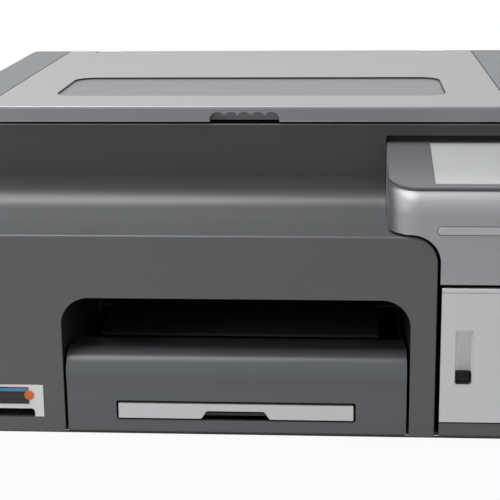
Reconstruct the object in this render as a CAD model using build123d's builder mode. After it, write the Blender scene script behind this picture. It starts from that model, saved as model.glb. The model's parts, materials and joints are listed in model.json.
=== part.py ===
from build123d import *
import os
from math import acos, cos, hypot, pi, radians, sin, sqrt, tan

# Whole machine, in millimetres. X runs across, Y to the rear, Z up from the floor.
case_width = 441.0
case_depth = 417.0          # flat front face to rear face
housing_bulge = 3.0         # control housing in front of the flat face
total_height = 215.5        # floor to the top of the lid
foot_height = 0.9
lid_thickness = 11.3
lid_gap = 2.0               # shadow gap between case and lid

# Walls and clearances
wall = 2.5                  # moulded covers
thin_wall = 2.0             # inner mouldings
sheet = 2.0                 # steel sheet
seam = 0.4                  # between fitted covers
slip = 0.3                  # between sliding pieces
fit = 0.05                  # pin or shaft in its hole, on the radius
past = 1.0                  # how far a cut runs beyond what it cuts

# Front: flat face, nearly level shelf, concave fillet, upper wall
upper_wall = 59.8           # rim down to the shelf's back
shelf_rise = 1.0            # shelf's back above its front edge
shelf_depth = 84.0
shelf_fillet = 22.0
shelf_nose = 1.5
fascia_inset = 87.1         # flat face's right edge from the machine's right side
fascia_corner = 18.0
fascia_edge = 1.2           # rounding of the flat face's edge round that corner
black_seam = 1.9            # dark gap between fascia and control housing
pan_side = 13.5             # low wall along each side of the base

# Film mouth in the flat face
mouth_inset = 99.75        # mouth from the machine's left side
mouth_margin = 17.15        # mouth from the flat face's right edge
mouth_top = 97.7
mouth_corner = 19.5

# Control housing, bezel and display at the right
housing_width = 119.5
housing_bottom = 109.0
housing_corner = 20.0
bulge_drop = 45.2           # rim down to where the housing's face turns into its top curve
bezel_set_back = 4.7        # bezel's front edge behind the flat face
bezel_front_drop = 28.5     # rim down to the bezel's front edge
bezel_back_drop = 13.5      # rim down to where the bezel meets the upper wall's plane
bezel_thickness = 2.5
bezel_lip = 0.8             # bezel's edge above the groove that runs round it
bezel_groove = 1.3
shadow_drop = 8.1           # rim down to the edge of the wall above the bezel
step_back = 6.0             # how far the wall behind the bezel is set back
display_offset = 30.0       # display from the housing's left side
display_width = 61.0
display_margin = 6.6        # bezel in front of the display
bar_offset = 31.5           # power bar from the housing's left side
bar_width = 75.5
bar_drop = 53.2             # rim down to the bar's upper edge
bar_height = 5.4
bar_flange = 1.5
bar_edge = 0.5

# Ink door, tanks and their bay
door_inset = 6.2            # door from the machine's right side
door_width = 77.8
door_low = 11.8
door_gap = 2.6              # under the control housing
door_edge = 0.4             # bevel along the door's upper edge
door_line_drop = 2.6        # groove across the door below its upper edge
door_line = 0.7
sill_gap = 1.2
door_thickness = 4.0
door_pin_radius = 1.0
door_pin_reach = 3.0
sill_set_back = 0.8         # base's sill behind the door's face
grip_offset = 9.7           # finger pocket from the door's free edge
grip_width = 11.6
grip_low = 38.5
grip_high = 77.5
grip_depth = 9.5
grip_wall = 1.5
bay_depth = 78.0
tank_count = 5
tank_gap = 1.2
tank_headroom = 22.3        # door's upper edge above the tanks
tank_length = 58.0
tank_set_back = 14.0
tank_cap_radius = 4.6
tank_cap_height = 9.0
tank_edge = 1.5

# Card bay at the lower left
card_inset = 15.8           # flap from the machine's left side
card_width = 69.4
card_low = 11.5
card_high = 35.0
card_notch_width = 56.6
card_notch_height = 5.9
card_notch_corner = 2.5
card_pin_radius = 0.7
card_pin_reach = 2.0
card_bay_depth = 42.0
card_recess = 13.0
card_slot_width = 24.0
card_slot_height = 3.2
card_slot_depth = 20.0
card_slot_pitch = 7.8

# Lid
lid_overhang = 2.0          # lid's front edge in front of the upper wall
lid_rear_set_in = 1.0
lid_edge = 1.3              # rounded top front edge
lid_front_corner = 5.0
lid_rear_corner = 11.0
panel_inset = 34.1          # silver top panel from the machine's sides
panel_seam = 0.9
panel_thickness = 2.0
lid_band = 12.0             # solid band along the lid's front
lid_skin = 2.2
window_inset = 74.5         # sunken panel in the lid's top from the sides
window_front = 48.0         # behind the lid's front edge
window_length = 100.0
window_corner = 16.0
window_sink = 1.3
notch_centre = 0.2
notch_waves = 5
notch_pitch = 9.6
notch_radius = 5.6
notch_depth = 9.0
lid_hinge_inset = 70.5      # hinges' middles from the sides
lid_hinge_width = 22.0
lid_hinge_radius = 5.2
lid_pin_radius = 2.0
lid_pin_reach = 8.0
lid_slot_depth = 16.0

# Top deck with the access opening under the lid
access_left_inset = 48.5
access_right_inset = 32.5
access_front = 30.0         # behind the upper wall
access_rear = 62.0          # in front of the rear face
access_corner = 10.0
access_skirt = 10.0

# Film tray
tray_gap = 2.0              # each side of the tray's front in the mouth
tray_length = 290.0
tray_floor_height = 16.0
tray_side_height = 45.0
tray_face_top = 42.0        # where the lip starts to roll back
tray_lip_low = 33.0         # where the face starts to swell out to the lip
tray_lip = 0.9
tray_roll = 16.0            # radius of the lip's roll up to the crest
tray_hood_depth = 58.0
tray_hood_drop = 7.0
platform_left_gap = 12.25   # platform from the mouth's left side
platform_right_gap = 19.45
platform_front = 80.0       # behind the flat face
platform_length = 150.0
platform_tab = 12.0
handle_left_gap = 37.55     # handle from the mouth's left side
handle_right_gap = 37.95
handle_low = 11.6
handle_high = 22.3
handle_gap = 1.6
handle_thickness = 3.5
handle_notch_width = 46.9   # at the handle's lower edge
handle_notch_height = 5.6
handle_notch_slope = 58.0   # degrees between its ends and the level
handle_notch_edge = 2.0
extension_length = 143.0
extension_height = 13.0
extension_thickness = 1.8
rail_wall = 2.0
guide_base = 1.5
guide_height = 20.0
side_guide_length = 60.0
side_guide_width = 22.0
rear_guide_width = 50.0
rear_guide_length = 28.0

# Sheet-steel frame and its shafts
frame_left_inset = 40.5
frame_right_inset = 22.5
frame_length = 152.0
frame_rear = 92.0
frame_top = 165.0
frame_back_low = 100.0
rod_radius = 4.0
rod_y = 20.0
rod_z = 125.0
shaft_radius = 4.0
roller_radius = 8.0
roller_left_gap = 8.75      # roller from the mouth's left side
roller_right_gap = 11.25
feed_y = 35.0
gear_train_z = 66.0
gear_module = 0.8
feed_teeth = 40
idler_teeth = 60
pinion_teeth = 16
gear_width = 6.0
gear_stand_off = 3.0
gear_backlash = 0.15
gear_pressure = 20.0        # pressure angle in degrees
gear_root = 1.15            # root and tip from the pitch circle, in modules
gear_tip = 0.85
flank_steps = 4
pinion_steps = -7           # feed gear teeth between the train's line and the pinion
feed_motor_radius = 14.0
feed_motor_length = 28.0
motor_shaft_radius = 2.0
pinch_radius = 4.0
pinch_length = 18.0
pinch_count = 6
film_gap = 0.4
star_radius = 5.0
star_thickness = 0.8
star_count = 10
star_points = 14
star_shaft_radius = 1.5
platen_height = 7.8
rib_height = 3.8
rib_width = 1.6
rib_count = 17

# Carriage, belt and capping station
carriage_width = 90.0
carriage_inset = 55.0       # parked carriage's middle from the frame's right plate
carriage_length = 61.0
carriage_low = 86.0
carriage_high = 140.0
head_width = 50.0
head_length = 30.0
head_lift = 1.5             # nozzle face above the film
nozzle_length = 22.5
pulley_radius = 7.0
pulley_flange = 1.5
pulley_z = 140.0
drive_inset = 20.0          # pulleys from the frame's plates
idler_inset = 14.0
belt_front = 82.2
belt_width = 4.6
belt_thickness = 0.9
carriage_motor_radius = 16.0
carriage_motor_length = 32.0
station_low = 50.0
station_inset = 26.0        # from the frame's right plate
station_length = 52.0
station_height = 70.0
cap_wall = 2.0
wiper_thickness = 1.4

# Electronics and rear
door_rear_inset = 125.5
door_rear_low = 60.0
door_rear_high = 130.0
door_rear_thickness = 2.5
door_rear_pin_radius = 0.7
rear_return = 14.0
rear_corner = 11.0
vent_count = 9
vent_pitch = 7.0
vent_width = 2.4
vent_low = 95.0
vent_high = 165.0
vent_inset = 48.5           # middle of each vent field from the sides
inlet_inset = 56.5          # sockets' middles from the right side
inlet_z = 30.0
inlet_width = 28.0
inlet_height = 21.0
inlet_depth = 17.0
inlet_socket_depth = 13.0
usb_inset = 110.5
usb_z = 30.0
usb_width = 13.0
usb_height = 12.0
usb_wall = 1.2
supply_size = (80.0, 78.0, 44.0)
board_size = (170.0, 120.0)
board_thickness = 1.6
board_stand_off = 6.0
board_low = 22.0
board_margin = 9.0          # posts from the board's edges
chip_size = (17.0, 17.0)
chip_pitch = (42.5, 40.0)
foot_radius = 9.0
foot_inset = 26.0
foot_chamfer = 0.5

# Worked out from the sizes above
rim_height = total_height - lid_thickness - lid_gap
half = case_width / 2
inner = half - wall - seam
front = (housing_bulge - case_depth) / 2
rear = front + case_depth
wall_y = front + shelf_depth
shelf_back = rim_height - upper_wall
shelf_front = shelf_back - shelf_rise
shelf_slope = shelf_rise / shelf_depth
bulge_height = rim_height - bulge_drop
bezel_front_height = rim_height - bezel_front_drop
bezel_back_height = rim_height - bezel_back_drop
shadow_top = rim_height - shadow_drop
fascia_right = half - fascia_inset
housing_left = half - housing_width
display_left = housing_left + display_offset
display_right = display_left + display_width
bar_left = housing_left + bar_offset
bar_right = bar_left + bar_width
bar_high = rim_height - bar_drop
bar_low = bar_high - bar_height
door_right = half - door_inset
door_left = door_right - door_width
grip_left = door_left + grip_offset
grip_right = grip_left + grip_width
floor_top = foot_height + wall
step_y = wall_y + step_back
bezel_front = front + bezel_set_back
bezel_slope = (bezel_back_height - bezel_front_height) / (wall_y - bezel_front)
door_high = housing_bottom - door_gap
door_axis_x = door_right - door_thickness / 2
door_axis_y = front + door_thickness / 2
lid_low = rim_height + lid_gap
lid_front = wall_y - lid_overhang
lid_rear = rear - lid_rear_set_in
lid_axis_y = lid_rear - (total_height - lid_low) / 2
lid_axis_z = (total_height + lid_low) / 2
panel_low = total_height - panel_thickness
panel_half_width = half - panel_inset
window_half_width = half - window_inset
notch_left = notch_centre - notch_waves * notch_pitch / 2
lid_hinge_x = half - lid_hinge_inset
mouth_left = -half + mouth_inset
mouth_right = fascia_right - mouth_margin
mouth_width = mouth_right - mouth_left
mouth_centre = (mouth_left + mouth_right) / 2
platform_left = mouth_left + platform_left_gap
platform_right = mouth_right - platform_right_gap
handle_left = mouth_left + handle_left_gap
handle_right = mouth_right - handle_right_gap
roller_left = mouth_left + roller_left_gap
roller_right = mouth_right - roller_right_gap
frame_left = -half + frame_left_inset
frame_right = half - frame_right_inset
frame_front = frame_rear - frame_length
carriage_parked = frame_right - carriage_inset
carriage_rear = rod_y + 2 * rod_radius
carriage_front = carriage_rear - carriage_length
drive_x = frame_left + drive_inset
idler_x = frame_right - idler_inset
station_right = frame_right - station_inset
station_rear = rod_y
station_front = station_rear - station_length
door_rear_half = half - door_rear_inset
inlet_x = half - inlet_inset
usb_x = half - usb_inset
tray_left = mouth_left + tray_gap
tray_right = mouth_right - tray_gap
tray_front = front + handle_thickness + slip
tray_rear = tray_front + tray_length
tray_inner_left = tray_left + thin_wall
tray_inner_right = tray_right - thin_wall
tray_floor_top = tray_floor_height + thin_wall
idler_y = feed_y - gear_module * (feed_teeth + idler_teeth) / 2
eject_y = idler_y - gear_module * (feed_teeth + idler_teeth) / 2
pinion_angle = pinion_steps * 2 * pi / feed_teeth
pinion_reach = gear_module * (feed_teeth + pinion_teeth) / 2
pinion_y = feed_y + pinion_reach * cos(pinion_angle)
pinion_z = gear_train_z + pinion_reach * sin(pinion_angle)
gear_right = frame_left - gear_stand_off
film_z = gear_train_z + roller_radius
nozzle_z = film_z + head_lift
access_y = (wall_y + access_front, rear - access_rear)
access_left = -half + access_left_inset
access_right = half - access_right_inset


def shelf_z(y):
    """Height of the shelf at a depth."""
    return shelf_front + shelf_slope * (y - front)


def bezel_z(y):
    """Height of the bezel's upper face at a depth."""
    return bezel_front_height + bezel_slope * (y - bezel_front)


def upright(y):
    """Upright plane across the machine at a depth, facing the front."""
    return Plane.XZ.offset(-y)


def block(x, y, z, mode=Mode.ADD):
    """Box from its two bounds along each axis."""
    with Locations(((x[0] + x[1]) / 2, (y[0] + y[1]) / 2, (z[0] + z[1]) / 2)):
        Box(x[1] - x[0], y[1] - y[0], z[1] - z[0], mode=mode)


def rod(start, direction, radius, length, mode=Mode.ADD):
    """Round bar from the middle of one end along a direction."""
    with Locations(Plane(origin=start, z_dir=direction)):
        Cylinder(radius, length, align=(Align.CENTER, Align.CENTER, Align.MIN), mode=mode)


def extrude_x(points, x, mode=Mode.ADD):
    """Closed outline seen from the side, carried between two X bounds."""
    with BuildSketch(Plane.YZ.offset(x[0])) as outline:
        with BuildLine():
            Polyline(*points, close=True)
        make_face()
    extrude(outline.sketch, amount=x[1] - x[0], mode=mode)


def rounded_cut(plane, centre, size, corner, depth, mode=Mode.SUBTRACT):
    """Rounded rectangle on a plane, carried along the plane's normal."""
    with BuildSketch(plane) as outline:
        with Locations(centre):
            RectangleRounded(size[0], size[1], corner)
    extrude(outline.sketch, amount=depth, mode=mode)


def front_body(inset, x, z, back, mode=Mode.ADD):
    """Space behind the front's face, shelf and upper wall, inset from them."""
    drop = inset * hypot(1, shelf_slope)
    face = front + inset
    upper = wall_y + inset
    with BuildSketch(Plane.YZ.offset(x[0])) as outline:
        with BuildLine():
            Polyline((face, z[0]), (face, shelf_z(face) - drop), (upper, shelf_z(upper) - drop),
                     (upper, z[1]), (back, z[1]), (back, z[0]), close=True)
        make_face()
        near = outline.vertices().sort_by_distance((upper, shelf_z(upper) - drop))[0]
        fillet(near, shelf_fillet + inset)
        nose = outline.vertices().sort_by_distance((face, shelf_z(face) - drop))[0]
        fillet(nose, max(shelf_nose - inset, wall / 10))
    extrude(outline.sketch, amount=x[1] - x[0], mode=mode)


def fascia_waste(grow, mode):
    """Everything outside the flat face's rounded upper right corner."""
    with BuildSketch(upright(step_y)) as waste:
        with Locations((fascia_right - fascia_corner, shelf_front - fascia_corner)):
            Rectangle(case_width, case_width, align=(Align.MIN, Align.MIN))
            Circle(fascia_corner + grow, mode=Mode.SUBTRACT)
    extrude(waste.sketch, amount=step_y - front + wall + past, mode=mode)


# Front cover: one bent moulding with the film mouth and the card opening
card_x = (-half + card_inset, -half + card_inset + card_width)
card_centre = (card_x[0] + card_x[1]) / 2
card_axis_y = front + wall / 2
card_axis_z = card_high - wall / 2
step_x = housing_left - seam


def right_of_step(rise, top, mode):
    """Everything above the shelf's plane behind and beside the control housing."""
    y = (wall_y - 2 * shelf_fillet, step_y)
    extrude_x([(y[0], shelf_z(y[0]) + rise), (y[1], shelf_z(y[1]) + rise), (y[1], top), (y[0], top)],
              (step_x, half + past), mode)


with BuildPart() as front_cover:
    front_body(0, (-half, fascia_right), (foot_height, rim_height), wall_y + wall)
    front_body(wall, (-half - past, fascia_right + past), (foot_height - past, rim_height + past),
               wall_y + wall + past, Mode.SUBTRACT)
    fascia_waste(0, Mode.SUBTRACT)
    bend = front_cover.edges().filter_by(GeomType.CIRCLE).group_by(Axis.Y)[0]
    fillet(bend.sort_by(Axis.X)[-1], fascia_edge)
    right_of_step(0, rim_height + past, Mode.SUBTRACT)
    block((step_x - wall, half), (wall_y, wall_y + wall), (shadow_top, rim_height))
    block((step_x - wall, inner), (wall_y, step_y + wall), (shadow_top, shadow_top + wall))
    block((step_x - wall, inner), (step_y, step_y + wall), (shelf_front, shadow_top + wall))
    block((step_x - wall, step_x), (wall_y, step_y + wall), (shelf_back - wall, shadow_top + wall))
    with BuildSketch(upright(front + wall + past)) as mouth:
        with Locations((mouth_centre, foot_height - past)):
            Rectangle(mouth_width, mouth_top - foot_height + past, align=(Align.CENTER, Align.MIN))
        fillet(mouth.vertices().group_by(Axis.Y)[-1], mouth_corner)
    extrude(amount=wall + 2 * past, mode=Mode.SUBTRACT)
    block((card_x[0] - seam, card_x[1] + seam), (front - past, front + wall + past),
          (card_low - seam, card_high + seam), Mode.SUBTRACT)
    rod((card_x[0] - seam - card_pin_reach, card_axis_y, card_axis_z), (1, 0, 0),
        card_pin_radius + fit, card_width + 2 * (seam + card_pin_reach), Mode.SUBTRACT)
front_cover.part.label = "front_cover"

# Space that the front cover fills, with the black seam round it
with BuildPart() as front_envelope:
    front_body(-black_seam, (-half, fascia_right + black_seam), (-past, rim_height), step_y)
    block((-half, fascia_right + black_seam), (front - housing_bulge, front),
          (-past, shelf_front + black_seam))
    fascia_waste(black_seam, Mode.SUBTRACT)
    right_of_step(black_seam, 2 * rim_height, Mode.SUBTRACT)

# Card bay cover: flap with a rounded upper edge, moulded pins and a finger notch
with BuildPart() as card_bay_cover:
    block(card_x, (front, front + wall), (card_low, card_axis_z))
    rod((card_x[0], card_axis_y, card_axis_z), (1, 0, 0), wall / 2, card_width)
    rod((card_x[0] - seam - card_pin_reach + slip, card_axis_y, card_axis_z), (1, 0, 0),
        card_pin_radius, card_width + 2 * (seam + card_pin_reach - slip))
    rounded_cut(upright(front + wall + past), (card_centre, card_low),
                (card_notch_width, 2 * card_notch_height), card_notch_corner, wall + 2 * past)
card_bay_cover.part.label = "card_bay_cover"

# Card bay: block behind the flap with two card slots, standing on the base
card_bay_front = front + wall + slip
card_slot_z = (card_low + card_high) / 2
with BuildPart() as card_bay:
    block((card_x[0] - thin_wall, card_x[1] + thin_wall),
          (card_bay_front, card_bay_front + card_bay_depth), (floor_top, card_high + 2 * thin_wall))
    block(card_x, (card_bay_front - past, card_bay_front + card_recess),
          (card_low, card_high + seam), Mode.SUBTRACT)
    with Locations(Plane.XZ.offset(-card_bay_front - card_recess)):
        with Locations((card_centre, card_slot_z - card_slot_pitch / 2),
                       (card_centre, card_slot_z + card_slot_pitch / 2)):
            Box(card_slot_width, card_slot_height, 2 * card_slot_depth, mode=Mode.SUBTRACT)
card_bay.part.label = "card_bay"

# Base pan: floor with low walls and tray runners
runner_x = (mouth_left - seam, mouth_right + seam)
throat_rear = frame_front - thin_wall
with BuildPart() as base_pan:
    with BuildSketch(Plane.XY.offset(foot_height)) as plan:
        with Locations((0, (front + rear) / 2)):
            Rectangle(2 * inner, rear - front - 2 * (wall + seam))
        fillet(plan.vertices().group_by(Axis.Y)[-1], rear_corner - wall - seam)
    extrude(amount=wall)
    for side in (-1, 1):
        edge = sorted((side * inner, side * (inner - thin_wall)))
        block(edge, (front + wall + seam, rear - rear_return), (foot_height, foot_height + pan_side))
    for side, x in zip((-1, 1), runner_x):
        block(sorted((x, x + side * thin_wall)), (throat_rear + seam, tray_rear),
              (foot_height, tray_floor_height))
    block((tray_left - seam, tray_right + seam), (front, front + tray_lip + wall + seam),
          (foot_height - past, floor_top + past), Mode.SUBTRACT)
base_pan.part.label = "base_pan"

# Side covers: flat plates with the outline of the front, the right one with the door's sill
side_rear = rear - rear_return - seam
with BuildPart() as side_cover_left:
    front_body(wall + seam, (-half, -half + wall), (foot_height, rim_height), side_rear)
side_cover_left.part.label = "side_cover_left"

sill_top = door_low - sill_gap
with BuildPart() as side_cover_right:
    block((half - wall, half), (front + wall + seam, side_rear), (foot_height, housing_bottom - seam))
    block((half - wall, half), (step_y, side_rear), (housing_bottom - wall, rim_height))
    block((half - wall, half), (wall_y + wall + seam, side_rear), (shadow_top, rim_height))
    block((door_right + seam, half), (front, front + wall), (foot_height, housing_bottom - seam))
    block((half - wall, half), (front, front + 2 * wall), (foot_height, housing_bottom - seam))
    block((door_left, half - wall), (front + sill_set_back, front + wall), (foot_height, sill_top))
    block((door_left, inner - thin_wall - seam), (front + sill_set_back, front + 2 * wall),
          (floor_top + seam, sill_top))
    rod((door_axis_x, door_axis_y, sill_top - door_pin_reach), (0, 0, 1),
        door_pin_radius + fit, door_pin_reach + past, Mode.SUBTRACT)
side_cover_right.part.label = "side_cover_right"

# Rear cover: wraps both rear corners, with the access door's opening, vents and sockets
rear_door_axis_y = rear - door_rear_thickness / 2
rear_door_axis_z = door_rear_high - door_rear_thickness / 2
with BuildPart() as rear_cover:
    with BuildSketch(Plane.XY.offset(foot_height)) as plan:
        with Locations((0, rear)):
            Rectangle(case_width, rear_return, align=(Align.CENTER, Align.MAX))
        fillet(plan.vertices().group_by(Axis.Y)[-1], rear_corner)
    extrude(amount=rim_height - foot_height)
    with BuildSketch(Plane.XY.offset(foot_height - past)) as hollow:
        with Locations((0, rear - wall)):
            Rectangle(case_width - 2 * wall, 2 * rear_return, align=(Align.CENTER, Align.MAX))
        fillet(hollow.vertices().group_by(Axis.Y)[-1], rear_corner - wall)
    extrude(amount=rim_height - foot_height + 2 * past, mode=Mode.SUBTRACT)
    block((-door_rear_half - seam, door_rear_half + seam), (rear - wall - past, rear + past),
          (door_rear_low - seam, door_rear_high + seam), Mode.SUBTRACT)
    rod((-door_rear_half - wall, rear_door_axis_y, rear_door_axis_z), (1, 0, 0),
        door_rear_pin_radius + fit, 2 * (door_rear_half + wall), Mode.SUBTRACT)
    block((inlet_x - inlet_width / 2 - slip, inlet_x + inlet_width / 2 + slip),
          (rear - wall - past, rear + past),
          (inlet_z - inlet_height / 2 - slip, inlet_z + inlet_height / 2 + slip), Mode.SUBTRACT)
    block((usb_x - usb_width / 2 - slip, usb_x + usb_width / 2 + slip),
          (rear - wall - past, rear + past),
          (usb_z - usb_height / 2 - slip, usb_z + usb_height / 2 + slip), Mode.SUBTRACT)
    for side in (-1, 1):
        with BuildSketch(upright(rear + past)):
            with Locations((side * (half - vent_inset), (vent_low + vent_high) / 2)):
                with GridLocations(vent_pitch, 1, vent_count, 1):
                    SlotOverall(vent_high - vent_low, vent_width, rotation=90)
        extrude(amount=wall + 2 * past, mode=Mode.SUBTRACT)
rear_cover.part.label = "rear_cover"

# Rear access door: hangs from its upper edge, with ribs on its inner face
with BuildPart() as rear_door:
    block((-door_rear_half, door_rear_half), (rear - door_rear_thickness, rear),
          (door_rear_low, rear_door_axis_z))
    rod((-door_rear_half, rear_door_axis_y, rear_door_axis_z), (1, 0, 0),
        door_rear_thickness / 2, 2 * door_rear_half)
    rod((-door_rear_half - wall + slip, rear_door_axis_y, rear_door_axis_z), (1, 0, 0),
        door_rear_pin_radius, 2 * (door_rear_half + wall - slip))
    with Locations((0, rear - door_rear_thickness - thin_wall, (door_rear_low + door_rear_high) / 2)):
        with GridLocations(2 * door_rear_half / vent_count, 1, vent_count, 1):
            Box(rib_width, 2 * thin_wall, (door_rear_high - door_rear_low) / 2)
rear_door.part.label = "rear_door"

# Top deck under the lid, with the access opening, its skirt and four rests for the lid
with BuildPart() as top_deck:
    with BuildSketch(Plane.XY.offset(rim_height - wall)) as plan:
        with Locations((0, (wall_y + rear) / 2)):
            Rectangle(2 * inner, rear - wall_y - 2 * (wall + seam))
        fillet(plan.vertices().group_by(Axis.Y)[-1], rear_corner - wall - seam)
    extrude(amount=wall)
    middle = ((access_left + access_right) / 2, (access_y[0] + access_y[1]) / 2)
    opening = (access_right - access_left, access_y[1] - access_y[0])
    rounded_cut(Plane.XY.offset(rim_height - access_skirt), middle,
                (opening[0] + 2 * thin_wall, opening[1] + 2 * thin_wall),
                access_corner + thin_wall, access_skirt, Mode.ADD)
    rounded_cut(Plane.XY.offset(rim_height - access_skirt - past), middle, opening, access_corner,
                access_skirt + 2 * past)
    with Locations((0, (wall_y + rear) / 2, rim_height)):
        with GridLocations(2 * half - 4 * foot_radius, rear - wall_y - 6 * foot_radius, 2, 2):
            Cylinder(foot_radius / 2, lid_gap - slip / 2,
                     align=(Align.CENTER, Align.CENTER, Align.MIN))
top_deck.part.label = "top_deck"

# Throat: dark inner moulding from the film mouth back to the rollers
throat_top = mouth_top + seam
with BuildPart() as output_throat:
    for side, x in zip((-1, 1), runner_x):
        block(sorted((x, x + side * thin_wall)), (front + wall + seam / 4, throat_rear),
              (floor_top, throat_top + thin_wall))
    block((runner_x[0] - thin_wall, runner_x[1] + thin_wall), (front + wall + seam / 4, throat_rear),
          (throat_top, throat_top + thin_wall))
output_throat.part.label = "output_throat"

# Control housing: lofted skin whose front swells forward, open below, behind and on top
housing_back = step_y - seam
bulge_front = front - housing_bulge
curve_rise = bezel_z(bezel_front) - bezel_thickness - bulge_height
curve_run = bezel_front - bulge_front
curve_radius = (curve_rise ** 2 + curve_run ** 2) / (2 * curve_run)
curve_steps = 5


def housing_face(z):
    """Depth of the housing's front face at a height."""
    if z <= bulge_height:
        return front - housing_bulge * (z - housing_bottom) / (bulge_height - housing_bottom)
    rise = min(z - bulge_height, curve_rise)
    return bulge_front + curve_radius - sqrt(curve_radius ** 2 - rise ** 2)


def housing_section(z, face, inset, back):
    """Level outline of the housing with its rounded front left corner."""
    left = housing_left + inset
    corner = housing_corner - inset
    with BuildSketch(Plane.XY.offset(z)) as section:
        with BuildLine():
            Polyline((left, face + inset + corner), (left, back), (half - inset, back),
                     (half - inset, face + inset), (left + corner, face + inset))
            RadiusArc((left + corner, face + inset), (left, face + inset + corner), corner)
        make_face()
    return section.sketch


def housing_form(inset, back, low, high):
    """Solid inside the housing's outer surface, as three lofts."""
    levels = [bulge_height + curve_rise * step / curve_steps for step in range(curve_steps + 1)]
    with BuildPart() as form:
        loft([housing_section(low, housing_face(low), inset, back),
              housing_section(bulge_height, bulge_front, inset, back)])
        loft([housing_section(z, housing_face(z), inset, back) for z in levels])
        loft([housing_section(levels[-1], bezel_front, inset, back),
              housing_section(high, bezel_front, inset, back)])
    return form.part


bar_middle = (bar_low + bar_high) / 2
bar_wall_y = housing_face(bar_middle)
with BuildPart() as control_housing:
    add(housing_form(0, housing_back, housing_bottom, bezel_back_height + bezel_thickness))
    add(housing_form(wall, housing_back + past, housing_bottom - past,
                     bezel_back_height + 2 * bezel_thickness), mode=Mode.SUBTRACT)
    extrude_x([(bulge_front - past, bezel_z(bulge_front - past) - bezel_thickness),
               (rear, bezel_z(rear) - bezel_thickness), (rear, 2 * rim_height),
               (bulge_front - past, 2 * rim_height)], (housing_left - past, half + past),
              Mode.SUBTRACT)
    add(front_envelope.part, mode=Mode.SUBTRACT)
    rounded_cut(upright(bar_wall_y + 2 * wall), ((bar_left + bar_right) / 2, bar_middle),
                (bar_right - bar_left + 2 * slip, bar_high - bar_low + 2 * slip),
                (bar_high - bar_low) / 2 + slip - fit, 4 * wall)
    block((door_axis_x - 2 * thin_wall, half - wall), (front + sill_set_back, front + 3 * thin_wall),
          (housing_bottom, housing_bottom + 2 * thin_wall))
    rod((door_axis_x, door_axis_y, housing_bottom - past), (0, 0, 1), door_pin_radius + fit,
        door_pin_reach + past, Mode.SUBTRACT)
control_housing.part.label = "control_housing"

# Control bezel: sloping plate that closes the housing, with the display's opening
display_front = bezel_front + display_margin
display_back = wall_y + past


def bezel_slab(x, y, low, high, mode=Mode.ADD):
    """Sloping slab between two heights measured from the bezel's upper face."""
    extrude_x([(y[0], bezel_z(y[0]) + low), (y[1], bezel_z(y[1]) + low),
               (y[1], bezel_z(y[1]) + high), (y[0], bezel_z(y[0]) + high)], x, mode)


def bezel_layer(inset, low, high):
    """Layer of the bezel between two heights, its front left corner rounded, inset at its edges."""
    left, near, corner = housing_left + inset, bezel_front + inset, housing_corner - inset
    with BuildPart() as layer:
        bezel_slab((left, half - inset), (near, housing_back), low, high)
        with BuildSketch(Plane.XY.offset(bezel_front_height - 2 * bezel_thickness)) as plan:
            with BuildLine():
                Polyline((left, near + corner), (left, housing_back), (half - inset, housing_back),
                         (half - inset, near), (left + corner, near))
                RadiusArc((left + corner, near), (left, near + corner), corner)
            make_face()
        extrude(amount=rim_height, mode=Mode.INTERSECT)
    return layer.part


with BuildPart() as control_bezel:
    add(bezel_layer(0, -bezel_lip, 0))
    add(bezel_layer(bezel_groove, -bezel_thickness, -bezel_lip))
    bezel_slab((display_left, display_right), (display_front, display_back),
               -2 * bezel_thickness, bezel_thickness, Mode.SUBTRACT)
control_bezel.part.label = "control_bezel"

# Display window: blank panel let into the bezel
with BuildPart() as display_window:
    bezel_slab((display_left + slip, display_right - slip),
               (display_front + slip, display_back - slip), -bezel_thickness, -slip)
display_window.part.label = "display_window"

# Control board: slopes under the bezel on four posts, with its parts below
board_drop = bezel_thickness + 2 * thin_wall
board_x = (display_left - display_margin, display_right + display_margin)
board_y = (display_front + display_margin, display_back - display_margin)
with BuildPart() as control_board:
    bezel_slab(board_x, board_y, -board_drop - board_thickness, -board_drop)
    for x in (board_x[0], board_x[1] - 2 * thin_wall):
        for y in (board_y[0], board_y[1] - 2 * thin_wall):
            bezel_slab((x, x + 2 * thin_wall), (y, y + 2 * thin_wall), -board_drop,
                       -bezel_thickness - seam / 4)
    for column in range(3):
        x = board_x[0] + display_margin * (1 + 2 * column)
        bezel_slab((x, x + display_margin), (board_y[0] + display_margin,
                   board_y[0] + 2 * display_margin), -board_drop - 2 * thin_wall,
                   -board_drop - board_thickness)
control_board.part.label = "control_board"

# Power bar: long push button through the housing's face, with a flange behind it
bar_flange_y = bar_wall_y + wall + slip
with BuildPart() as power_bar:
    rounded_cut(upright(bar_flange_y + thin_wall), ((bar_left + bar_right) / 2, bar_middle),
                (bar_right - bar_left, bar_high - bar_low), (bar_high - bar_low) / 2 - fit,
                bar_flange_y + thin_wall - bulge_front, Mode.ADD)
    fillet(power_bar.faces().sort_by(Axis.Y)[0].edges(), bar_edge)
    block((bar_left - bar_flange, bar_right + bar_flange), (bar_flange_y, bar_flange_y + thin_wall),
          (bar_low - bar_flange, bar_high + bar_flange))
power_bar.part.label = "power_bar"

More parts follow.
